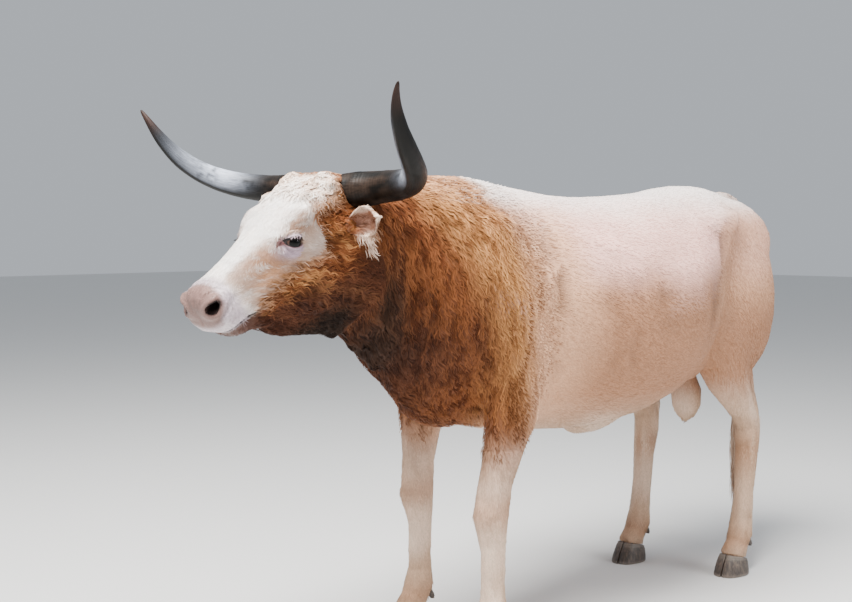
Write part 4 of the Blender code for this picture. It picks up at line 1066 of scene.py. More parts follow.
# The way the hair runs, and its waves: reach in radians, and length
def baseLie(points):
    along, over, _ = headFrame(points)
    place = stance(points)
    x, y, z = place[:, 0], place[:, 1], place[:, 2]
    side = np.where(x > 0, 1.0, -1.0)
    count = len(points)
    rows = np.ones((count, 1))
    lie = rows * np.array((0, 1.0, -0.40))
    waveReach, waveLength = np.full(count, 0.10), np.full(count, 0.05)
    # thighs and legs: down
    down = 1 - smoothStep(z, 0.62, 0.95)
    rear = smoothStep(y, 0.55, 0.75)
    lie = mix(
        lie,
        (0, 0.35, -1.0),
        np.clip(down * (np.abs(x) > 0.02) * ((y > 0.55) | (y < -0.30)) + 0.6 * rear, 0, 1),
    )
    lie = mix(lie, (0, 1.0, -0.05), (z < 0.80) * (y > -0.30) * (y < 0.55) * 0.9)
    lie = mix(lie, (0, 0.12, -1.0), 1 - smoothStep(z, 0.55, 0.62))
    lie = mix(lie, (0, 0.05, -1.0), (y > 1.12).astype(float))
    # shoulder and neck: down and back, in waves
    neck = (1 - smoothStep(y, -0.60, -0.32)) * (z > 0.60)
    lie = mix(lie, (0, 0.42, -1.0), neck)
    crest = neck * smoothStep(z, 1.28, 1.40)
    lie = mix(lie, (0, 1.0, -0.25), crest)
    lie[:, 0] += side * crest * 0.5
    under = neck * (1 - smoothStep(z, 0.84, 0.96)) * (np.abs(x) < 0.06)
    lie = mix(lie, (0, 0.9, -0.5), under)
    waveReach = waveReach * (1 - neck) + 0.50 * neck
    waveLength = waveLength * (1 - neck) + 0.025 * neck
    # head
    onHead = headShare(points)
    n = np.array(noseward)
    bridge = smoothStep(over, -0.10, -0.03)
    cheekLie = rows * np.array((0, 1.0, -0.12))
    cheekLie = mix(cheekLie, (0, 1.0, 0.30), smoothStep(along, 0.30, 0.40))
    cheekLie = mix(cheekLie, (0, 0.9, -0.7), (1 - smoothStep(along, 0.05, 0.12)) * (over < -0.08))
    head = mix(cheekLie, n * 1.0, bridge * smoothStep(along, 0.10, 0.20))
    head[:, 0] += side * bridge * 0.35 * smoothStep(along, 0.15, 0.25)
    top = (1 - smoothStep(along, 0.10, 0.18)) * smoothStep(over, -0.07, -0.035)
    topLie = rows * n
    topLie[:, 0] += x * 9
    head = head * (1 - top)[:, None] + topLie * top[:, None]
    muzzle = smoothStep(along, 0.44, 0.48)
    head = mix(head, (0, 0.2, -1.0), muzzle * 0.9)
    lie = head * onHead[:, None] + lie * (1 - onHead)[:, None]
    cheek = russetShare(points) * onHead
    waveReach = np.where(onHead > 0.5, 0.25 + 0.45 * cheek + 0.9 * top, waveReach)
    waveLength = np.where(onHead > 0.5, 0.030 - 0.004 * cheek - 0.006 * top, waveLength)
    waveReach = waveReach * (1 - 0.8 * muzzle * onHead)
    # ears: out along them
    ear = isEar(points)
    run = rows * np.array(earForm["run"])
    run[:, 0] *= side
    down = earFrame(points)[1]
    rim = smoothStep(down, 0.016, 0.030)
    hanging = np.array(earDown) * 0.8 + np.array((0, 0, -0.5))
    hanging = rows * hanging
    hanging[:, 0] *= side
    run = run * (1 - 0.75 * rim)[:, None] + hanging * (0.75 * rim)[:, None]
    lie = np.where(ear[:, None], run, lie)
    waveReach = np.where(ear, 0.25, waveReach)
    tail = (y > 1.12) & (z < 0.66)
    waveReach = np.where(tail, 0.22, waveReach)
    waveLength = np.where(tail, 0.060, waveLength)
    return unit(lie), waveReach, waveLength


# The hair's direction on the skin, turn being each hair's own stray
def hairField(points, normals, turn, t=0):
    lie, reach, length = baseLie(points)
    wander = layered(points, 0.030, 51, 2) * 12.0
    phase = 2 * math.pi * np.einsum("ij,ij->i", points, lie) / length + wander
    angle = reach * np.sin(phase) + turn
    flat = unit(lie - normals * np.einsum("ij,ij->i", lie, normals)[:, None])
    cross = np.cross(normals, flat)
    return flat * np.cos(angle)[:, None] + cross * np.sin(angle)[:, None]


def hangField(points, normals, turn, t):
    lie, reach, length = baseLie(points)
    phase = 2 * math.pi * points[:, 2] / length + layered(points, 0.06, 52, 2) * 9.0
    angle = reach * np.sin(phase) + turn * (1 - 0.6 * t)
    flat = normals.copy()
    flat[:, 2] *= 0.3
    out = unit(lie + unit(flat) * 0.22 * (1 - t) ** 2)
    cross = unit(np.cross(lie, flat + (0.001, 0, 0)))
    return out * np.cos(angle)[:, None] + cross * np.sin(angle)[:, None]


# Each limb rolled out flat in a strip of its own
def unwrap(points):
    place = stance(points)
    x, y, z = place[:, 0], place[:, 1], place[:, 2]
    along, over, _ = headFrame(points)

    def turn(a, b):
        return (np.arctan2(a, b) / (2 * math.pi)) % 1.0

    u, v = turn(x, z - 1.10) * 0.96, 0.02 + 0.40 * np.clip((y + 1.1) / 2.3, 0, 1)
    onHead = headShare(points) > 0.5
    u = np.where(onHead, turn(x, over + 0.12) * 0.60, u)
    v = np.where(onHead, 0.46 + 0.24 * np.clip(along / 0.56, 0, 1), v)
    low = z < 0.66
    strip = np.where(x > 0, 0, 1) + np.where(y > 0.2, 2, 0)
    middle = np.where(y > 0.2, 0.78, -0.52)
    u = np.where(low, strip * 0.24 + 0.22 * turn(np.abs(x) - 0.19, y - middle), u)
    v = np.where(low, 0.73 + 0.22 * np.clip(z / 0.7, 0, 1), v)
    tail = y > 1.12
    u = np.where(tail, 0.64 + 0.14 * turn(x, y - 1.152), u)
    v = np.where(tail, 0.46 + 0.24 * np.clip(z / 1.4, 0, 1), v)
    far, down, opened = earFrame(points)
    ear = isEar(points)
    u = np.where(ear, 0.82 + 0.08 * turn(opened + 0.01, down) + np.where(x > 0, 0, 0.09), u)
    v = np.where(ear, 0.46 + 0.24 * np.clip(far / 0.18, 0, 1), v)
    return np.stack([u, v], 1)


# Flat tapered tufts, each a closed sliver that follows the skin
def growCoat(name, roots, normals, coat, seed, replaced=()):
    count = len(roots)
    chance = np.random.default_rng(seed)
    rings = coat["rings"]
    size = 1 + coat["spread"] * (chance.random(count) * 2 - 1)
    length = coat["length"] * size
    if "shape" in coat:
        length = length * coat["shape"](roots)
    width = coat["width"] * (0.75 + 0.5 * chance.random(count))
    turn = chance.normal(0, coat["stray"], count)
    hugs = coat["length"] > 0.020 and "flow" not in coat
    place, up = roots.copy(), normals.copy()
    rows, leans, unders, heading = [], [], [], None
    for k in range(rings + 1):
        t = k / rings
        heading = coat.get("flow", hairField)(place, up, turn, t)
        centre = place + up * (coat["lift"] * (t**1.2) * size - coat["sink"] * (1 - t) ** 2)[:, None]
        swell = coat["belly"] * 4 * t * (1 - t)
        centre = centre + up * (swell * size)[:, None]
        side = unit(np.cross(up, heading))
        if k < rings:
            taper = min(0.62 + 1.2 * t, 1.0) * (1 - t**2.6)
            half = (width * taper / 2)[:, None]
            top = unit(np.cross(heading, side))
            rows += [centre + side * half, centre + top * coat["thick"] * (1 - 0.6 * t), centre - side * half]
            leans += [top + side * 0.55, top + heading * 0.15, top - side * 0.55]
            unders += [side * 0.55 - top, -top, -top - side * 0.55]
        else:
            rows.append(centre)
            leans.append(top)
            unders.append(-top)
        if k < rings:
            place = place + heading * (length / rings)[:, None]
            if hugs:
                found = [surface["tree"].find_nearest(p) for p in place.tolist()]
                place = np.array([f[0] for f in found])
                face = surface["corners"][np.array([f[2] for f in found])]
                up = unit(surface["normals"][face].mean(1))
    per = 3 * rings + 1
    verts = np.stack(rows, 1).reshape(-1, 3)
    faces = [(0, 2, 1)]
    for k in range(rings - 1):
        for a in range(3):
            b = (a + 1) % 3
            faces.append((3 * k + a, 3 * k + b, 3 * k + 3 + b, 3 * k + 3 + a))
    last = 3 * (rings - 1)
    faces += [(last, last + 1, per - 1), (last + 1, last + 2, per - 1), (last + 2, last, per - 1)]
    sizes = np.array([len(f) for f in faces])
    loops = np.concatenate([np.array(f) for f in faces])
    mesh = bpy.data.meshes.new(name)
    mesh.vertices.add(count * per)
    mesh.vertices.foreach_set("co", verts.astype(np.float32).ravel())
    allLoops = (loops[None, :] + np.arange(count)[:, None] * per).ravel()
    mesh.loops.add(len(allLoops))
    mesh.loops.foreach_set("vertex_index", allLoops.astype(np.int32))
    starts = np.concatenate([[0], np.cumsum(np.tile(sizes, count))[:-1]])
    mesh.polygons.add(len(starts))
    mesh.polygons.foreach_set("loop_start", starts.astype(np.int32))
    mesh.update(calc_edges=True)
    mesh.polygons.foreach_set("use_smooth", np.ones(len(starts), bool))
    below = np.repeat([f[0] % 3 == 2 and f[1] % 3 == 0 for f in faces], sizes)
    corners = np.where(below[None, :, None], np.stack(unders, 1)[:, loops], np.stack(leans, 1)[:, loops])
    mesh.normals_split_custom_set(unit(corners.reshape(-1, 3)).astype(np.float32))
    # colour: the hide's own at the root, darker deep in the coat with painted shade, lighter at the tip
    base = hideColour(roots, normals)
    crestLight = strandCrestShade(roots)
    # painted shade in the gaps between locks and painted highlight on their crests
    light = (1 + coat["toneSpread"] * (chance.random(count) * 2 - 1)) * (0.50 + 0.85 * crestLight)
    stations = np.concatenate([np.repeat(np.arange(rings) / rings, 3), [1.0]])
    shade = coat["rootShade"] + (coat["tipShade"] - coat["rootShade"]) * stations
    warm = np.stack([light, light**1.2, light**1.35], 1)
    colours = (base * warm)[:, None, :] * shade[None, :, None]
    paint(mesh, "coatTone", colours.reshape(-1, 3))
    # a small patch of the hide's unwrap for each tuft
    corner = unwrap(roots)
    acrossPatch = np.concatenate([np.tile((0.0, 0.5, 1.0), rings), [0.5]])
    patch = np.stack([acrossPatch, stations], 1) * 0.003
    uv = (corner[:, None, :] + patch[None, :, :]).reshape(-1, 2)
    layer = mesh.uv_layers.new(name="OFBake")
    layer.data.foreach_set("uv", uv[allLoops].astype(np.float32).ravel())
    obj = bpy.data.objects.new(name, mesh)
    bpy.context.scene.collection.objects.link(obj)
    mesh.materials.append(coatHair)
    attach(obj, "root")
    if replaced:
        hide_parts(*replaced)
    triangles = int((sizes - 2).sum()) * count
    print(name, count, "tufts", triangles, "triangles")
    return obj


# 0 in the gaps between strands, 1 on their crests; it sets the tufts' painted shade in the gaps and painted
# highlight on the crests
def strandCrestShade(points):
    place = stance(points)
    z = place[:, 2]
    along, over, _ = headFrame(points)
    onHead = headShare(points) > 0.5
    neck = (1 - smoothStep(place[:, 1], -0.50, -0.30)) * (z > 0.6)
    upright = noise(points, (0.014, 0.014, 0.075), 61)
    level = noise(points, (0.03, 0.050, 0.011), 62)
    curls = noise(points, 0.013, 63)
    top = (1 - smoothStep(along, 0.10, 0.18)) * smoothStep(over, -0.07, -0.035)
    cheek = russetShare(points)
    headValue = 0.60 + (level - 0.5) * 1.5 * cheek + (curls - 0.5) * 0.8 * top
    bodyValue = 0.60 + (upright - 0.5) * (0.12 + 1.5 * neck * cheek)
    return smoothStep(np.where(onHead, headValue, bodyValue), 0.1, 1.0)


# How much of each coat grows at a point
def regionShares(points):
    along, over, _ = headFrame(points)
    place = stance(points)
    y, z = place[:, 1], place[:, 2]
    onHead = headShare(points)
    ear = isEar(points)
    bare = bareShare(points)
    ex, ey, ez = eyeFrame(points)
    nearEye = (slitDistance(ex, ey - 0.001) < 0.0055) & (ez > 0) & (np.hypot(ex, ey) < 0.05)
    nostrilFar = 1 - nostrilShare(points)
    cheek = russetShare(points)
    top = (1 - smoothStep(along, 0.09, 0.15)) * smoothStep(over, -0.075, -0.045)
    long = np.clip(cheek + top, 0, 1) * (1 - smoothStep(along, 0.38, 0.44))
    neck = (1 - smoothStep(y, -0.44, -0.34)) * smoothStep(z, 0.60, 0.70)
    legs = 1 - smoothStep(z, 0.54, 0.62)
    body = (1 - onHead) * (1 - neck) * (1 - legs)
    free = np.where(ear | nearEye, 0.0, 1.0)
    switch = ((y > 1.11) & (z < 0.63)).astype(float)
    free = free * (1 - switch)
    far, down, _ = earFrame(points)
    lowRim = ear * smoothStep(down, 0.016, 0.026) * (1 - smoothStep(far, 0.085, 0.125))
    lowRim = lowRim + ear * (far < 0.075) * (down > 0) * 0.3
    return {
        "face": onHead * (1 - long) * (1 - bare) * free * nostrilFar,
        "curls": onHead * long * (1 - bare) * free,
        "neck": (1 - onHead) * neck * free,
        "body": body * free,
        "legs": (1 - onHead) * legs * free * (z > 0.07),
        "ears": ear.astype(float),
        "fringe": np.clip(lowRim, 0, 1),
        "switch": switch,
        "muzzle": onHead * bare * (along < 0.505) * (along > 0.44) * nostrilFar,
    }


def neckLength(points):
    y = stance(points)[:, 1]
    return 1 - 0.42 * smoothStep(y, -0.90, -0.74) - 0.34 * smoothStep(y, -0.62, -0.44)


crowding = 1.0
coats = {
    "faceCoat": {
        "region": "face", "spacing": 0.0042, "length": 0.014, "width": 0.0026, "thick": 0.0006, "rings": 2,
        "lift": 0.0011, "sink": 0.0008, "belly": 0.0004, "stray": 0.22, "spread": 0.25, "toneSpread": 0.07,
        "rootShade": 0.86, "tipShade": 1.06, "slot": "face_hide", "seed": 101,
    },
    "curlCoat": {
        "region": "curls", "spacing": 0.0050, "length": 0.034, "width": 0.0034, "thick": 0.0015, "rings": 5,
        "lift": 0.0045, "sink": 0.0012, "belly": 0.0022, "stray": 0.20, "spread": 0.30, "toneSpread": 0.16,
        "rootShade": 0.62, "tipShade": 1.22, "slot": "face_hide", "seed": 102,
    },
    "neckCoat": {
        "region": "neck", "spacing": 0.0076, "length": 0.044, "width": 0.0038, "thick": 0.0014, "rings": 5,
        "lift": 0.0050, "sink": 0.0014, "belly": 0.0020, "stray": 0.16, "spread": 0.30, "toneSpread": 0.15,
        "rootShade": 0.62, "tipShade": 1.22, "slot": "neck_hide", "seed": 103, "shape": neckLength,
    },
    "bodyCoat": {
        "region": "body", "spacing": 0.0112, "length": 0.024, "width": 0.0034, "thick": 0.0006, "rings": 2,
        "lift": 0.0012, "sink": 0.0010, "belly": 0.0003, "stray": 0.16, "spread": 0.25, "toneSpread": 0.05,
        "rootShade": 0.93, "tipShade": 1.04, "slot": "body_hide", "seed": 104,
    },
    "legCoat": {
        "region": "legs", "spacing": 0.0072, "length": 0.018, "width": 0.0034, "thick": 0.0008, "rings": 2,
        "lift": 0.0014, "sink": 0.0008, "belly": 0.0003, "stray": 0.14, "spread": 0.25, "toneSpread": 0.08,
        "rootShade": 0.90, "tipShade": 1.05, "slot": "leg_hide", "seed": 105,
    },
    "earCoat": {
        "region": "ears", "spacing": 0.0040, "length": 0.010, "width": 0.0028, "thick": 0.0009, "rings": 2,
        "lift": 0.0008, "sink": 0.0008, "belly": 0.0004, "stray": 0.20, "spread": 0.25, "toneSpread": 0.10,
        "rootShade": 0.80, "tipShade": 1.10, "slot": "neck_hide", "seed": 106,
    },
    "earFringe": {
        "region": "fringe", "spacing": 0.0060, "length": 0.025, "width": 0.0026, "thick": 0.0011, "rings": 4,
        "lift": 0.0040, "sink": 0.0010, "belly": 0.0015, "stray": 0.35, "spread": 0.40, "toneSpread": 0.12,
        "rootShade": 0.85, "tipShade": 1.12, "slot": "neck_hide", "seed": 107, "flow": hangField,
    },
    "tailSwitch": {
        "region": "switch", "spacing": 0.0032, "length": 0.215, "width": 0.0036, "thick": 0.0015, "rings": 8,
        "lift": 0.0020, "sink": 0.0010, "belly": 0.0030, "stray": 0.05, "spread": 0.30, "toneSpread": 0.25,
        "rootShade": 0.75, "tipShade": 1.10, "slot": "body_hide", "seed": 108, "flow": hangField,
        "replaces": ("tail_switch",),
    },
    "muzzleHair": {
        "region": "muzzle", "spacing": 0.0060, "length": 0.0075, "width": 0.0014, "thick": 0.0006, "rings": 2,
        "lift": 0.0016, "sink": 0.0006, "belly": 0.0002, "stray": 0.30, "spread": 0.40, "toneSpread": 0.08,
        "rootShade": 0.95, "tipShade": 1.15, "slot": "face_hide", "seed": 109,
    },
}
pieceLimit = 190000


def growRegion(name, coat):
    roots, ups = scatter(lambda p: regionShares(p)[coat["region"]], coat["spacing"] * crowding, coat["seed"])
    per = 6 * (coat["rings"] - 1) + 4
    parts = max(1, math.ceil(len(roots) * per / pieceLimit))
    order = np.argsort(roots[:, 1], kind="stable")
    for k, chosen in enumerate(np.array_split(order, parts)):
        label = name if parts == 1 else f"{name}_{k + 1}"
        growCoat(
            label,
            roots[chosen],
            ups[chosen],
            coat,
            coat["seed"] + 50 * k,
            coat.get("replaces", ()),
        )


for name, coat in coats.items():
    growRegion(name, coat)

# lashes along the upper lids
lashForm = {
    "count": 30, "length": 0.013, "width": 0.0011, "thick": 0.0005, "rings": 4, "lift": 0, "sink": 0.0006,
    "belly": 0, "stray": 0.10, "spread": 0.25, "toneSpread": 0.1, "rootShade": 1.0, "tipShade": 1.0,
}


def lashFlow(points, normals, turn, t):
    side = np.where(points[:, :1] > 0, 1.0, -1.0)
    x = eyeFrame(points)[0]
    way = np.array(eyeOut) * 0.8 + np.array(eyeSlit) * (x * 16 + turn)[:, None]
    way = way + np.array(eyeUp) * (0.75 * t - 0.42)
    return unit(way * np.concatenate([side, side * 0 + 1, side * 0 + 1], 1))


share = np.linspace(-0.80, 0.88, lashForm["count"])
x = share * lidForm["halfLength"] - lidForm["back"]
y = lidForm["upper"] * (1 - np.abs(share) ** 1.7) ** (1 / 1.7) + 0.0018
z = np.sqrt((lidForm["ball"] + 0.0022) ** 2 - x**2 - y**2)
ups = x[:, None] * np.array(eyeSlit) + y[:, None] * np.array(eyeUp) + z[:, None] * np.array(eyeOut)
roots = np.array(eyeMiddle) + ups
roots = np.concatenate([roots, roots * (-1, 1, 1)])
ups = unit(np.concatenate([ups, ups * (-1, 1, 1)]))
growCoat("lashes", roots, ups, {**lashForm, "flow": lashFlow}, 120)


hornForm = {
    "handles": (
        (0.066, 0.022, -0.063),
        (0.320, 0.172, -0.028),
        (0.470, -0.073, -0.082),
        (0.440, -0.172, 0.080),
        (0.512, -0.201, 0.175),
    ),
    "start": 0.082,
    "widths": (
        (0, 0.0462), (0.06, 0.0468), (0.14, 0.0430), (0.30, 0.0380), (0.52, 0.0322), (0.72, 0.0252),
        (0.86, 0.0163), (0.95, 0.0086), (0.985, 0.0050), (0.996, 0.0030), (1.0, 0.0010),
    ),
    "rings": 190,
    "ridge": 0.0013,
    "ridgeGap": 0.0105,
    "sides": 10,
}
hornTones = {
    "dark": (0.004, 0.0035, 0.003),
    "brown": (0.022, 0.014, 0.010),
    "grey": (0.009, 0.008, 0.0075),
    "pale": (0.50, 0.55, 0.66),
    "tip": (0.045, 0.024, 0.019),
}


# Evenly spaced points along the left horn's middle
def hornLine(count):
    fine = []
    for t in np.linspace(0, 1, 1200):
        weights = [math.comb(4, k) * t**k * (1 - t) ** (4 - k) for k in range(5)]
        point = sum((np.array(h) * w for h, w in zip(hornForm["handles"], weights)), np.array(poll))
        if point[0] > hornForm["start"]:
            fine.append(point)
    fine = np.array(fine)
    far = np.concatenate([[0], np.cumsum(np.linalg.norm(np.diff(fine, axis=0), axis=1))])
    even = np.linspace(0, far[-1], count)
    return np.stack([np.interp(even, far, fine[:, k]) for k in range(3)], 1), far[-1]


def makeHorn():
    line, length = hornLine(hornForm["rings"])
    share = np.linspace(0, 1, len(line))
    widths = np.interp(share, [w[0] for w in hornForm["widths"]], [w[1] for w in hornForm["widths"]])
    path = bpy.data.curves.new("hornLeft", "CURVE")
    path.dimensions = "3D"
    path.bevel_depth = 1.0
    path.bevel_resolution = hornForm["sides"]
    path.use_fill_caps = True
    spline = path.splines.new("POLY")
    spline.points.add(len(line) - 1)
    for place, point, width in zip(line, spline.points, widths):
        point.co = (*place, 1)
        point.radius = width
    horn = bpy.data.objects.new("hornLeft", path)
    bpy.context.scene.collection.objects.link(horn)
    pick(horn)
    bpy.ops.object.convert(target="MESH")
    pick(horn)
    bpy.ops.object.mode_set(mode="EDIT")
    bpy.ops.mesh.select_all(action="SELECT")
    bpy.ops.mesh.remove_doubles(threshold=0.00001)
    bpy.ops.mesh.normals_make_consistent(inside=False)
    bpy.ops.object.mode_set(mode="OBJECT")
    points = readPoints(horn.data)
    nearest = np.array([np.argmin(((line - p) ** 2).sum(1)) for p in points])
    t = share[nearest]
    run = unit(np.gradient(line, axis=0))[nearest]
    out = points - line[nearest]
    out = out - run * np.einsum("ij,ij->i", out, run)[:, None]
    radius = np.maximum(np.linalg.norm(out, axis=1), 1e-6)
    out = out / radius[:, None]
    over = np.cross(run, (0, 1, 0))
    over = unit(over)
    deep = np.cross(run, over)
    turn = np.arctan2(np.einsum("ij,ij->i", out, deep), np.einsum("ij,ij->i", out, over))
    far = t * length
    wander = layered(points, 0.03, 71) - 0.5
    base = 1 - smoothStep(t, 0.16, 0.42)
    ridges = np.sin(2 * math.pi * (far + 0.006 * wander) / hornForm["ridgeGap"] + 0.8 * np.sin(turn)) * base
    cracks = layered(np.stack([turn * 0.05, far, t * 0], 1), (0.006, 0.045, 1), 72) - 0.5
    lumps = layered(points, 0.022, 73) - 0.5
    shift = 0.45 * ridges * smoothStep(layered(points, 0.028, 74), 0.40, 0.80)
    shift = hornForm["ridge"] * (shift + 2.2 * cracks * (0.35 + base) + 1.6 * lumps * base)
    shift = shift * smoothStep(widths[nearest], 0.002, 0.012)
    flat = 1 + 0.03 * np.cos(2 * turn)
    writePoints(horn.data, line[nearest] + out * (np.where(radius > 2e-6, radius, 0) * flat + shift)[:, None])
    # colours along the horn
    patchy = layered(points, (0.05, 0.05, 0.05), 75)
    streak = layered(np.stack([turn * 0.05, far, t * 0], 1), (0.004, 0.060, 1), 76)
    tone = mix(
        hornTones["dark"], hornTones["brown"], np.clip(base * 1.1, 0, 1) * smoothStep(streak, 0.30, 0.70)
    )
    middle = smoothStep(t, 0.22, 0.36) * (1 - smoothStep(t, 0.60, 0.80))
    tone = mix(tone, hornTones["grey"], middle * smoothStep(streak + patchy, 0.85, 1.15))
    # pale bluish patch on the upper inner side: weathered horn, partly painted sky highlight
    inner = smoothStep(-0.85 * out[:, 0] - 0.25 * out[:, 1] + 0.45 * out[:, 2], 0.0, 0.6)
    tone = mix(
        tone,
        hornTones["pale"],
        0.92 * band(t, 0.56, 0.125) * inner * smoothStep(patchy + 0.5 * streak, 0.46, 0.68),
    )
    tone = mix(tone, np.array(hornTones["pale"]) * 0.4, 0.6 * band(t, 0.68, 0.14) * inner)
    # painted highlight at the bend, kept faint
    bend = band(t, 0.43, 0.035) * smoothStep(out[:, 0], 0.55, 0.95) * smoothStep(patchy, 0.45, 0.60)
    tone = mix(tone, hornTones["pale"], 0.06 * bend)
    tone = mix(tone, hornTones["tip"], smoothStep(t, 0.84, 0.97) * (0.5 + 0.5 * patchy))
    tone = mix(tone, hornTones["dark"], 0.6 * smoothStep(t, 0.975, 1.0))
    # darker in the ridges' grooves and lighter on their crests: painted shade and highlight
    tone = tone * (1 + 0.30 * np.clip(ridges, -1, 0.4) * smoothStep(lumps, -0.2, 0.2))[:, None]
    tone = tone * (0.8 + 0.4 * streak)[:, None]
    paint(horn.data, "hornTone", tone)
    places = horn.data.attributes.new("hornPlace", "FLOAT_VECTOR", "POINT")
    spots = np.stack([out[:, 0] * 0.04 + 0.04, out[:, 2] * 0.04 + out[:, 1] * 0.04, far], 1)
    places.data.foreach_set("vector", spots.astype(np.float32).ravel())
    for polygon in horn.data.polygons:
        polygon.use_smooth = True
    return horn


def makeHornStuff():
    made, tree, shader = newMaterial("hornKeratin")
    tone = addNode(tree, "ShaderNodeAttribute", attribute_name="hornTone")
    place = addNode(tree, "ShaderNodeAttribute", attribute_name="hornPlace")
    stretch = tree.nodes.new("ShaderNodeMapping")
    stretch.inputs["Scale"].default_value = (420, 420, 26)
    tree.links.new(place.outputs["Vector"], stretch.inputs["Vector"])
    fibres = addNode(tree, "ShaderNodeTexNoise", Scale=1.0, Detail=5.0)
    tree.links.new(stretch.outputs["Vector"], fibres.inputs["Vector"])
    tinted(tree, shader, tone.outputs["Color"], rampNode(tree, fibres.outputs["Fac"], 0.62, 1.38))
    bump = addNode(tree, "ShaderNodeBump", Strength=0.45, Distance=0.0012)
    tree.links.new(fibres.outputs["Fac"], bump.inputs["Height"])
    tree.links.new(bump.outputs["Normal"], shader.inputs["Normal"])
    tree.links.new(rampNode(tree, fibres.outputs["Fac"], 0.36, 0.58), shader.inputs["Roughness"])
    shader.inputs["Specular IOR Level"].default_value = 0.12
    shader.inputs["Coat Weight"].default_value = 0.02
    shader.inputs["Coat Roughness"].default_value = 0.22
    return made


hornStuff = makeHornStuff()
hornLeft = makeHorn()
hornLeft.data.materials.append(hornStuff)
hornRight = mirrorCopy(hornLeft, "hornRight")
for horn, node in ((hornLeft, "horn_left"), (hornRight, "horn_right")):
    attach(horn, "root")
    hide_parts(node)
print("horns", len(hornLeft.data.polygons))


eyeForm = {"ball": 0.0232, "cornea": 0.0012, "iris": 0.0155, "pupilLong": 0.0100, "pupilTall": 0.0052}
eyeTones = {
    "white": (0.10, 0.055, 0.045),
    "iris": (0.003, 0.003, 0.003),
    "ring": (0.004, 0.003, 0.002),
    "pupil": (0.001, 0.001, 0.001),
}


def makeEye():
    bpy.ops.mesh.primitive_uv_sphere_add(segments=72, ring_count=48, radius=eyeForm["ball"])
    ball = bpy.context.object
    ball.name = "eyeballLeft"
    points = readPoints(ball.data)
    points = points @ np.array((eyeSlit, eyeUp, eyeOut))
    x, y, z = points @ np.array(eyeSlit), points @ np.array(eyeUp), points @ np.array(eyeOut)
    x = x + lidForm["back"]
    off = np.hypot(x, y)
    rise = eyeForm["cornea"] * (1 - smoothStep(off, 0.0, eyeForm["iris"] * 1.15)) * (z > 0)
    writePoints(ball.data, points * (1 + rise / eyeForm["ball"])[:, None] + np.array(eyeMiddle))
    pick(ball)
    bpy.ops.object.mode_set(mode="EDIT")
    bpy.ops.mesh.select_all(action="SELECT")
    bpy.ops.mesh.normals_make_consistent(inside=False)
    bpy.ops.object.mode_set(mode="OBJECT")
    spokes = noise(np.stack([np.arctan2(y, x) * 0.1, off * 0.2, off * 0], 1), (0.006, 0.004, 1), 81)
    tone = mix(
        eyeTones["white"],
        eyeTones["iris"],
        1 - smoothStep(off, eyeForm["iris"] - 0.0006, eyeForm["iris"] + 0.0006),
    )
    tone = mix(
        tone, np.array(eyeTones["iris"]) * 2.2, (off < eyeForm["iris"]) * smoothStep(spokes, 0.5, 0.9) * 0.6
    )
    tone = mix(tone, eyeTones["ring"], band(off, eyeForm["iris"], 0.0010))
    pupil = np.hypot(x / eyeForm["pupilLong"], y / eyeForm["pupilTall"])
    tone = mix(tone, eyeTones["pupil"], 1 - smoothStep(pupil, 0.9, 1.1))
    tone = np.where((z > 0)[:, None], tone, eyeTones["white"])
    paint(ball.data, "eyeTone", tone)
    for polygon in ball.data.polygons:
        polygon.use_smooth = True
    return ball


def makeEyeStuff():
    made, tree, shader = newMaterial("wetEye")
    tone = addNode(tree, "ShaderNodeAttribute", attribute_name="eyeTone")
    grain = noiseNode(tree, 700.0, 2.0)
    tinted(tree, shader, tone.outputs["Color"], rampNode(tree, grain.outputs["Fac"], 0.85, 1.15))
    shader.inputs["Roughness"].default_value = 0.10
    shader.inputs["Specular IOR Level"].default_value = 0.10
    shader.inputs["Coat Weight"].default_value = 0.05
    shader.inputs["Coat Roughness"].default_value = 0.03
    return made


eyeStuff = makeEyeStuff()
eyeballLeft = makeEye()
eyeballLeft.data.materials.append(eyeStuff)
eyeballRight = mirrorCopy(eyeballLeft, "eyeballRight")
for ball, node in ((eyeballLeft, "eye_left"), (eyeballRight, "eye_right")):
    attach(ball, "root")
    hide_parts(node)
print("eyes", len(eyeballLeft.data.polygons))


hoofForm = {"edge": 0.004, "dewEdge": 0.0012, "rib": 0.0006, "ribGap": 0.0085}
hoofTones = {"dark": (0.050, 0.038, 0.032), "pale": (0.155, 0.115, 0.085), "worn": (0.23, 0.19, 0.155)}


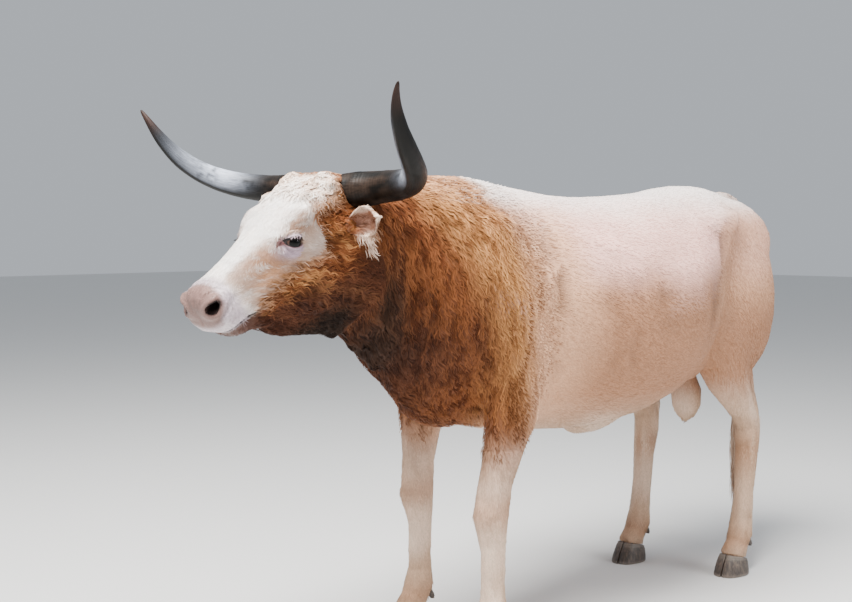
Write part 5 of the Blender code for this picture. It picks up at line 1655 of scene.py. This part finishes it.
# A claw or dewclaw from its solid, with rounded edges and growth rings
def makeHoof(node):
    hoof = copyNode(node)
    hoof.name = node.replace("claw", "hoof").replace("dewhoof", "dewclaw") + "_horn"
    hoof.data.name = hoof.name
    edges = hoof.modifiers.new("edges", "BEVEL")
    edges.width = hoofForm["edge"] if "dew" not in node else hoofForm["dewEdge"]
    edges.segments = 2
    edges.limit_method = "ANGLE"
    edges.angle_limit = math.radians(40)
    smooth = hoof.modifiers.new("smooth", "SUBSURF")
    smooth.levels = smooth.render_levels = 2
    applyAll(hoof)
    points, normals = readPoints(hoof.data), readNormals(hoof.data)
    low, high = points.min(0), points.max(0)
    middle = (low + high) / 2
    front = 0.20 * (points[:, 1] - middle[1])
    level = points[:, 2] + front * 0.6 + 0.004 * layered(points, 0.03, 91)
    rings = np.sin(2 * math.pi * level / hoofForm["ribGap"])
    share = smoothStep(points[:, 2], 0.006, 0.012)
    points = points + normals * (hoofForm["rib"] * rings * share)[:, None]
    points[:, 2] = np.maximum(points[:, 2], low[2])
    writePoints(hoof.data, points)
    streak = layered(points, (0.004, 0.004, 0.06), 92)
    tone = mix(hoofTones["dark"], hoofTones["pale"], 0.7 * smoothStep(streak, 0.40, 0.75))
    tone = mix(tone, hoofTones["worn"], 0.7 * (1 - smoothStep(points[:, 2], 0.002, 0.014)))
    tone = mix(tone, hoofTones["worn"], 0.5 * smoothStep(points[:, 2], 0.052, 0.066) * (points[:, 2] < 0.09))
    # darker in the growth rings' grooves and lighter on their ridges: painted shade and highlight
    tone = tone * (1 + 0.18 * rings * share)[:, None]
    paint(hoof.data, "hoofTone", tone)
    for polygon in hoof.data.polygons:
        polygon.use_smooth = True
    return hoof


def makeHoofStuff():
    made, tree, shader = newMaterial("hoofHorn")
    tone = addNode(tree, "ShaderNodeAttribute", attribute_name="hoofTone")
    fibres = noiseNode(tree, 1.0, 4.0, (700, 700, 60))
    tinted(tree, shader, tone.outputs["Color"], rampNode(tree, fibres.outputs["Fac"], 0.70, 1.25))
    bump = addNode(tree, "ShaderNodeBump", Strength=0.4, Distance=0.0008)
    tree.links.new(fibres.outputs["Fac"], bump.inputs["Height"])
    tree.links.new(bump.outputs["Normal"], shader.inputs["Normal"])
    tree.links.new(rampNode(tree, fibres.outputs["Fac"], 0.42, 0.62), shader.inputs["Roughness"])
    return made


hoofStuff = makeHoofStuff()
for node in sorted(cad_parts):
    if node.startswith(("claw", "dewclaw")):
        hoof = makeHoof(node)
        hoof.data.materials.append(hoofStuff)
        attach(hoof, "root")
        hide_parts(node)
print("hooves")

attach(skin, "root")
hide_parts(*fleshNames, "ear_left", "ear_right")


studio = {"floor": (0.70, 0.70, 0.69), "sky": 0.62, "key": 1150.0, "fill": 110.0}
bpy.ops.mesh.primitive_plane_add(size=60, location=(0, 0, 0))
floor = bpy.context.object
floor.name = "floor"
floorStuff, _, floorShader = newMaterial("paleFloor")
floorShader.inputs["Base Color"].default_value = (*studio["floor"], 1)
floorShader.inputs["Roughness"].default_value = 0.9
floor.data.materials.append(floorStuff)

world = bpy.data.worlds.new("studioSky")
bpy.context.scene.world = world
world.use_nodes = True
world.node_tree.nodes["Background"].inputs["Color"].default_value = (0.80, 0.85, 0.92, 1)
world.node_tree.nodes["Background"].inputs["Strength"].default_value = studio["sky"]


def softLight(name, place, target, size, power, colour=(1, 1, 1)):
    lamp = bpy.data.lights.new(name, "AREA")
    lamp.shape = "SQUARE"
    lamp.size = size
    lamp.energy = power
    lamp.color = colour
    obj = bpy.data.objects.new(name, lamp)
    bpy.context.scene.collection.objects.link(obj)
    obj.location = place
    obj.rotation_euler = (Vector(target) - Vector(place)).to_track_quat("-Z", "Y").to_euler()


softLight("keyLight", (0.5, -2.3, 5.2), (0, -0.2, 1.0), 3.0, studio["key"], (1.0, 0.98, 0.95))
softLight("fillLight", (3.8, 1.8, 2.6), (0, 0.2, 1.0), 2.5, studio["fill"], (0.95, 0.97, 1.0))


view = {
    "turn": math.radians(46.377),
    "down": math.radians(3.125),
    "place": (2.595, -3.366, 1.252),
    "lens": 54.53,
    "sensor": 36,
}
lens = bpy.data.cameras.new("photoView")
camera = bpy.data.objects.new("photoView", lens)
bpy.context.scene.collection.objects.link(camera)
lens.lens = view["lens"]
lens.sensor_width = view["sensor"]
camera.location = Vector(view["place"]) + Vector((0, modelShift, 0))
look = Vector(
    (
        -math.cos(view["turn"]) * math.cos(view["down"]),
        math.sin(view["turn"]) * math.cos(view["down"]),
        -math.sin(view["down"]),
    )
)
camera.rotation_euler = look.to_track_quat("-Z", "Y").to_euler()
bpy.context.scene.camera = camera

print("stage and camera")
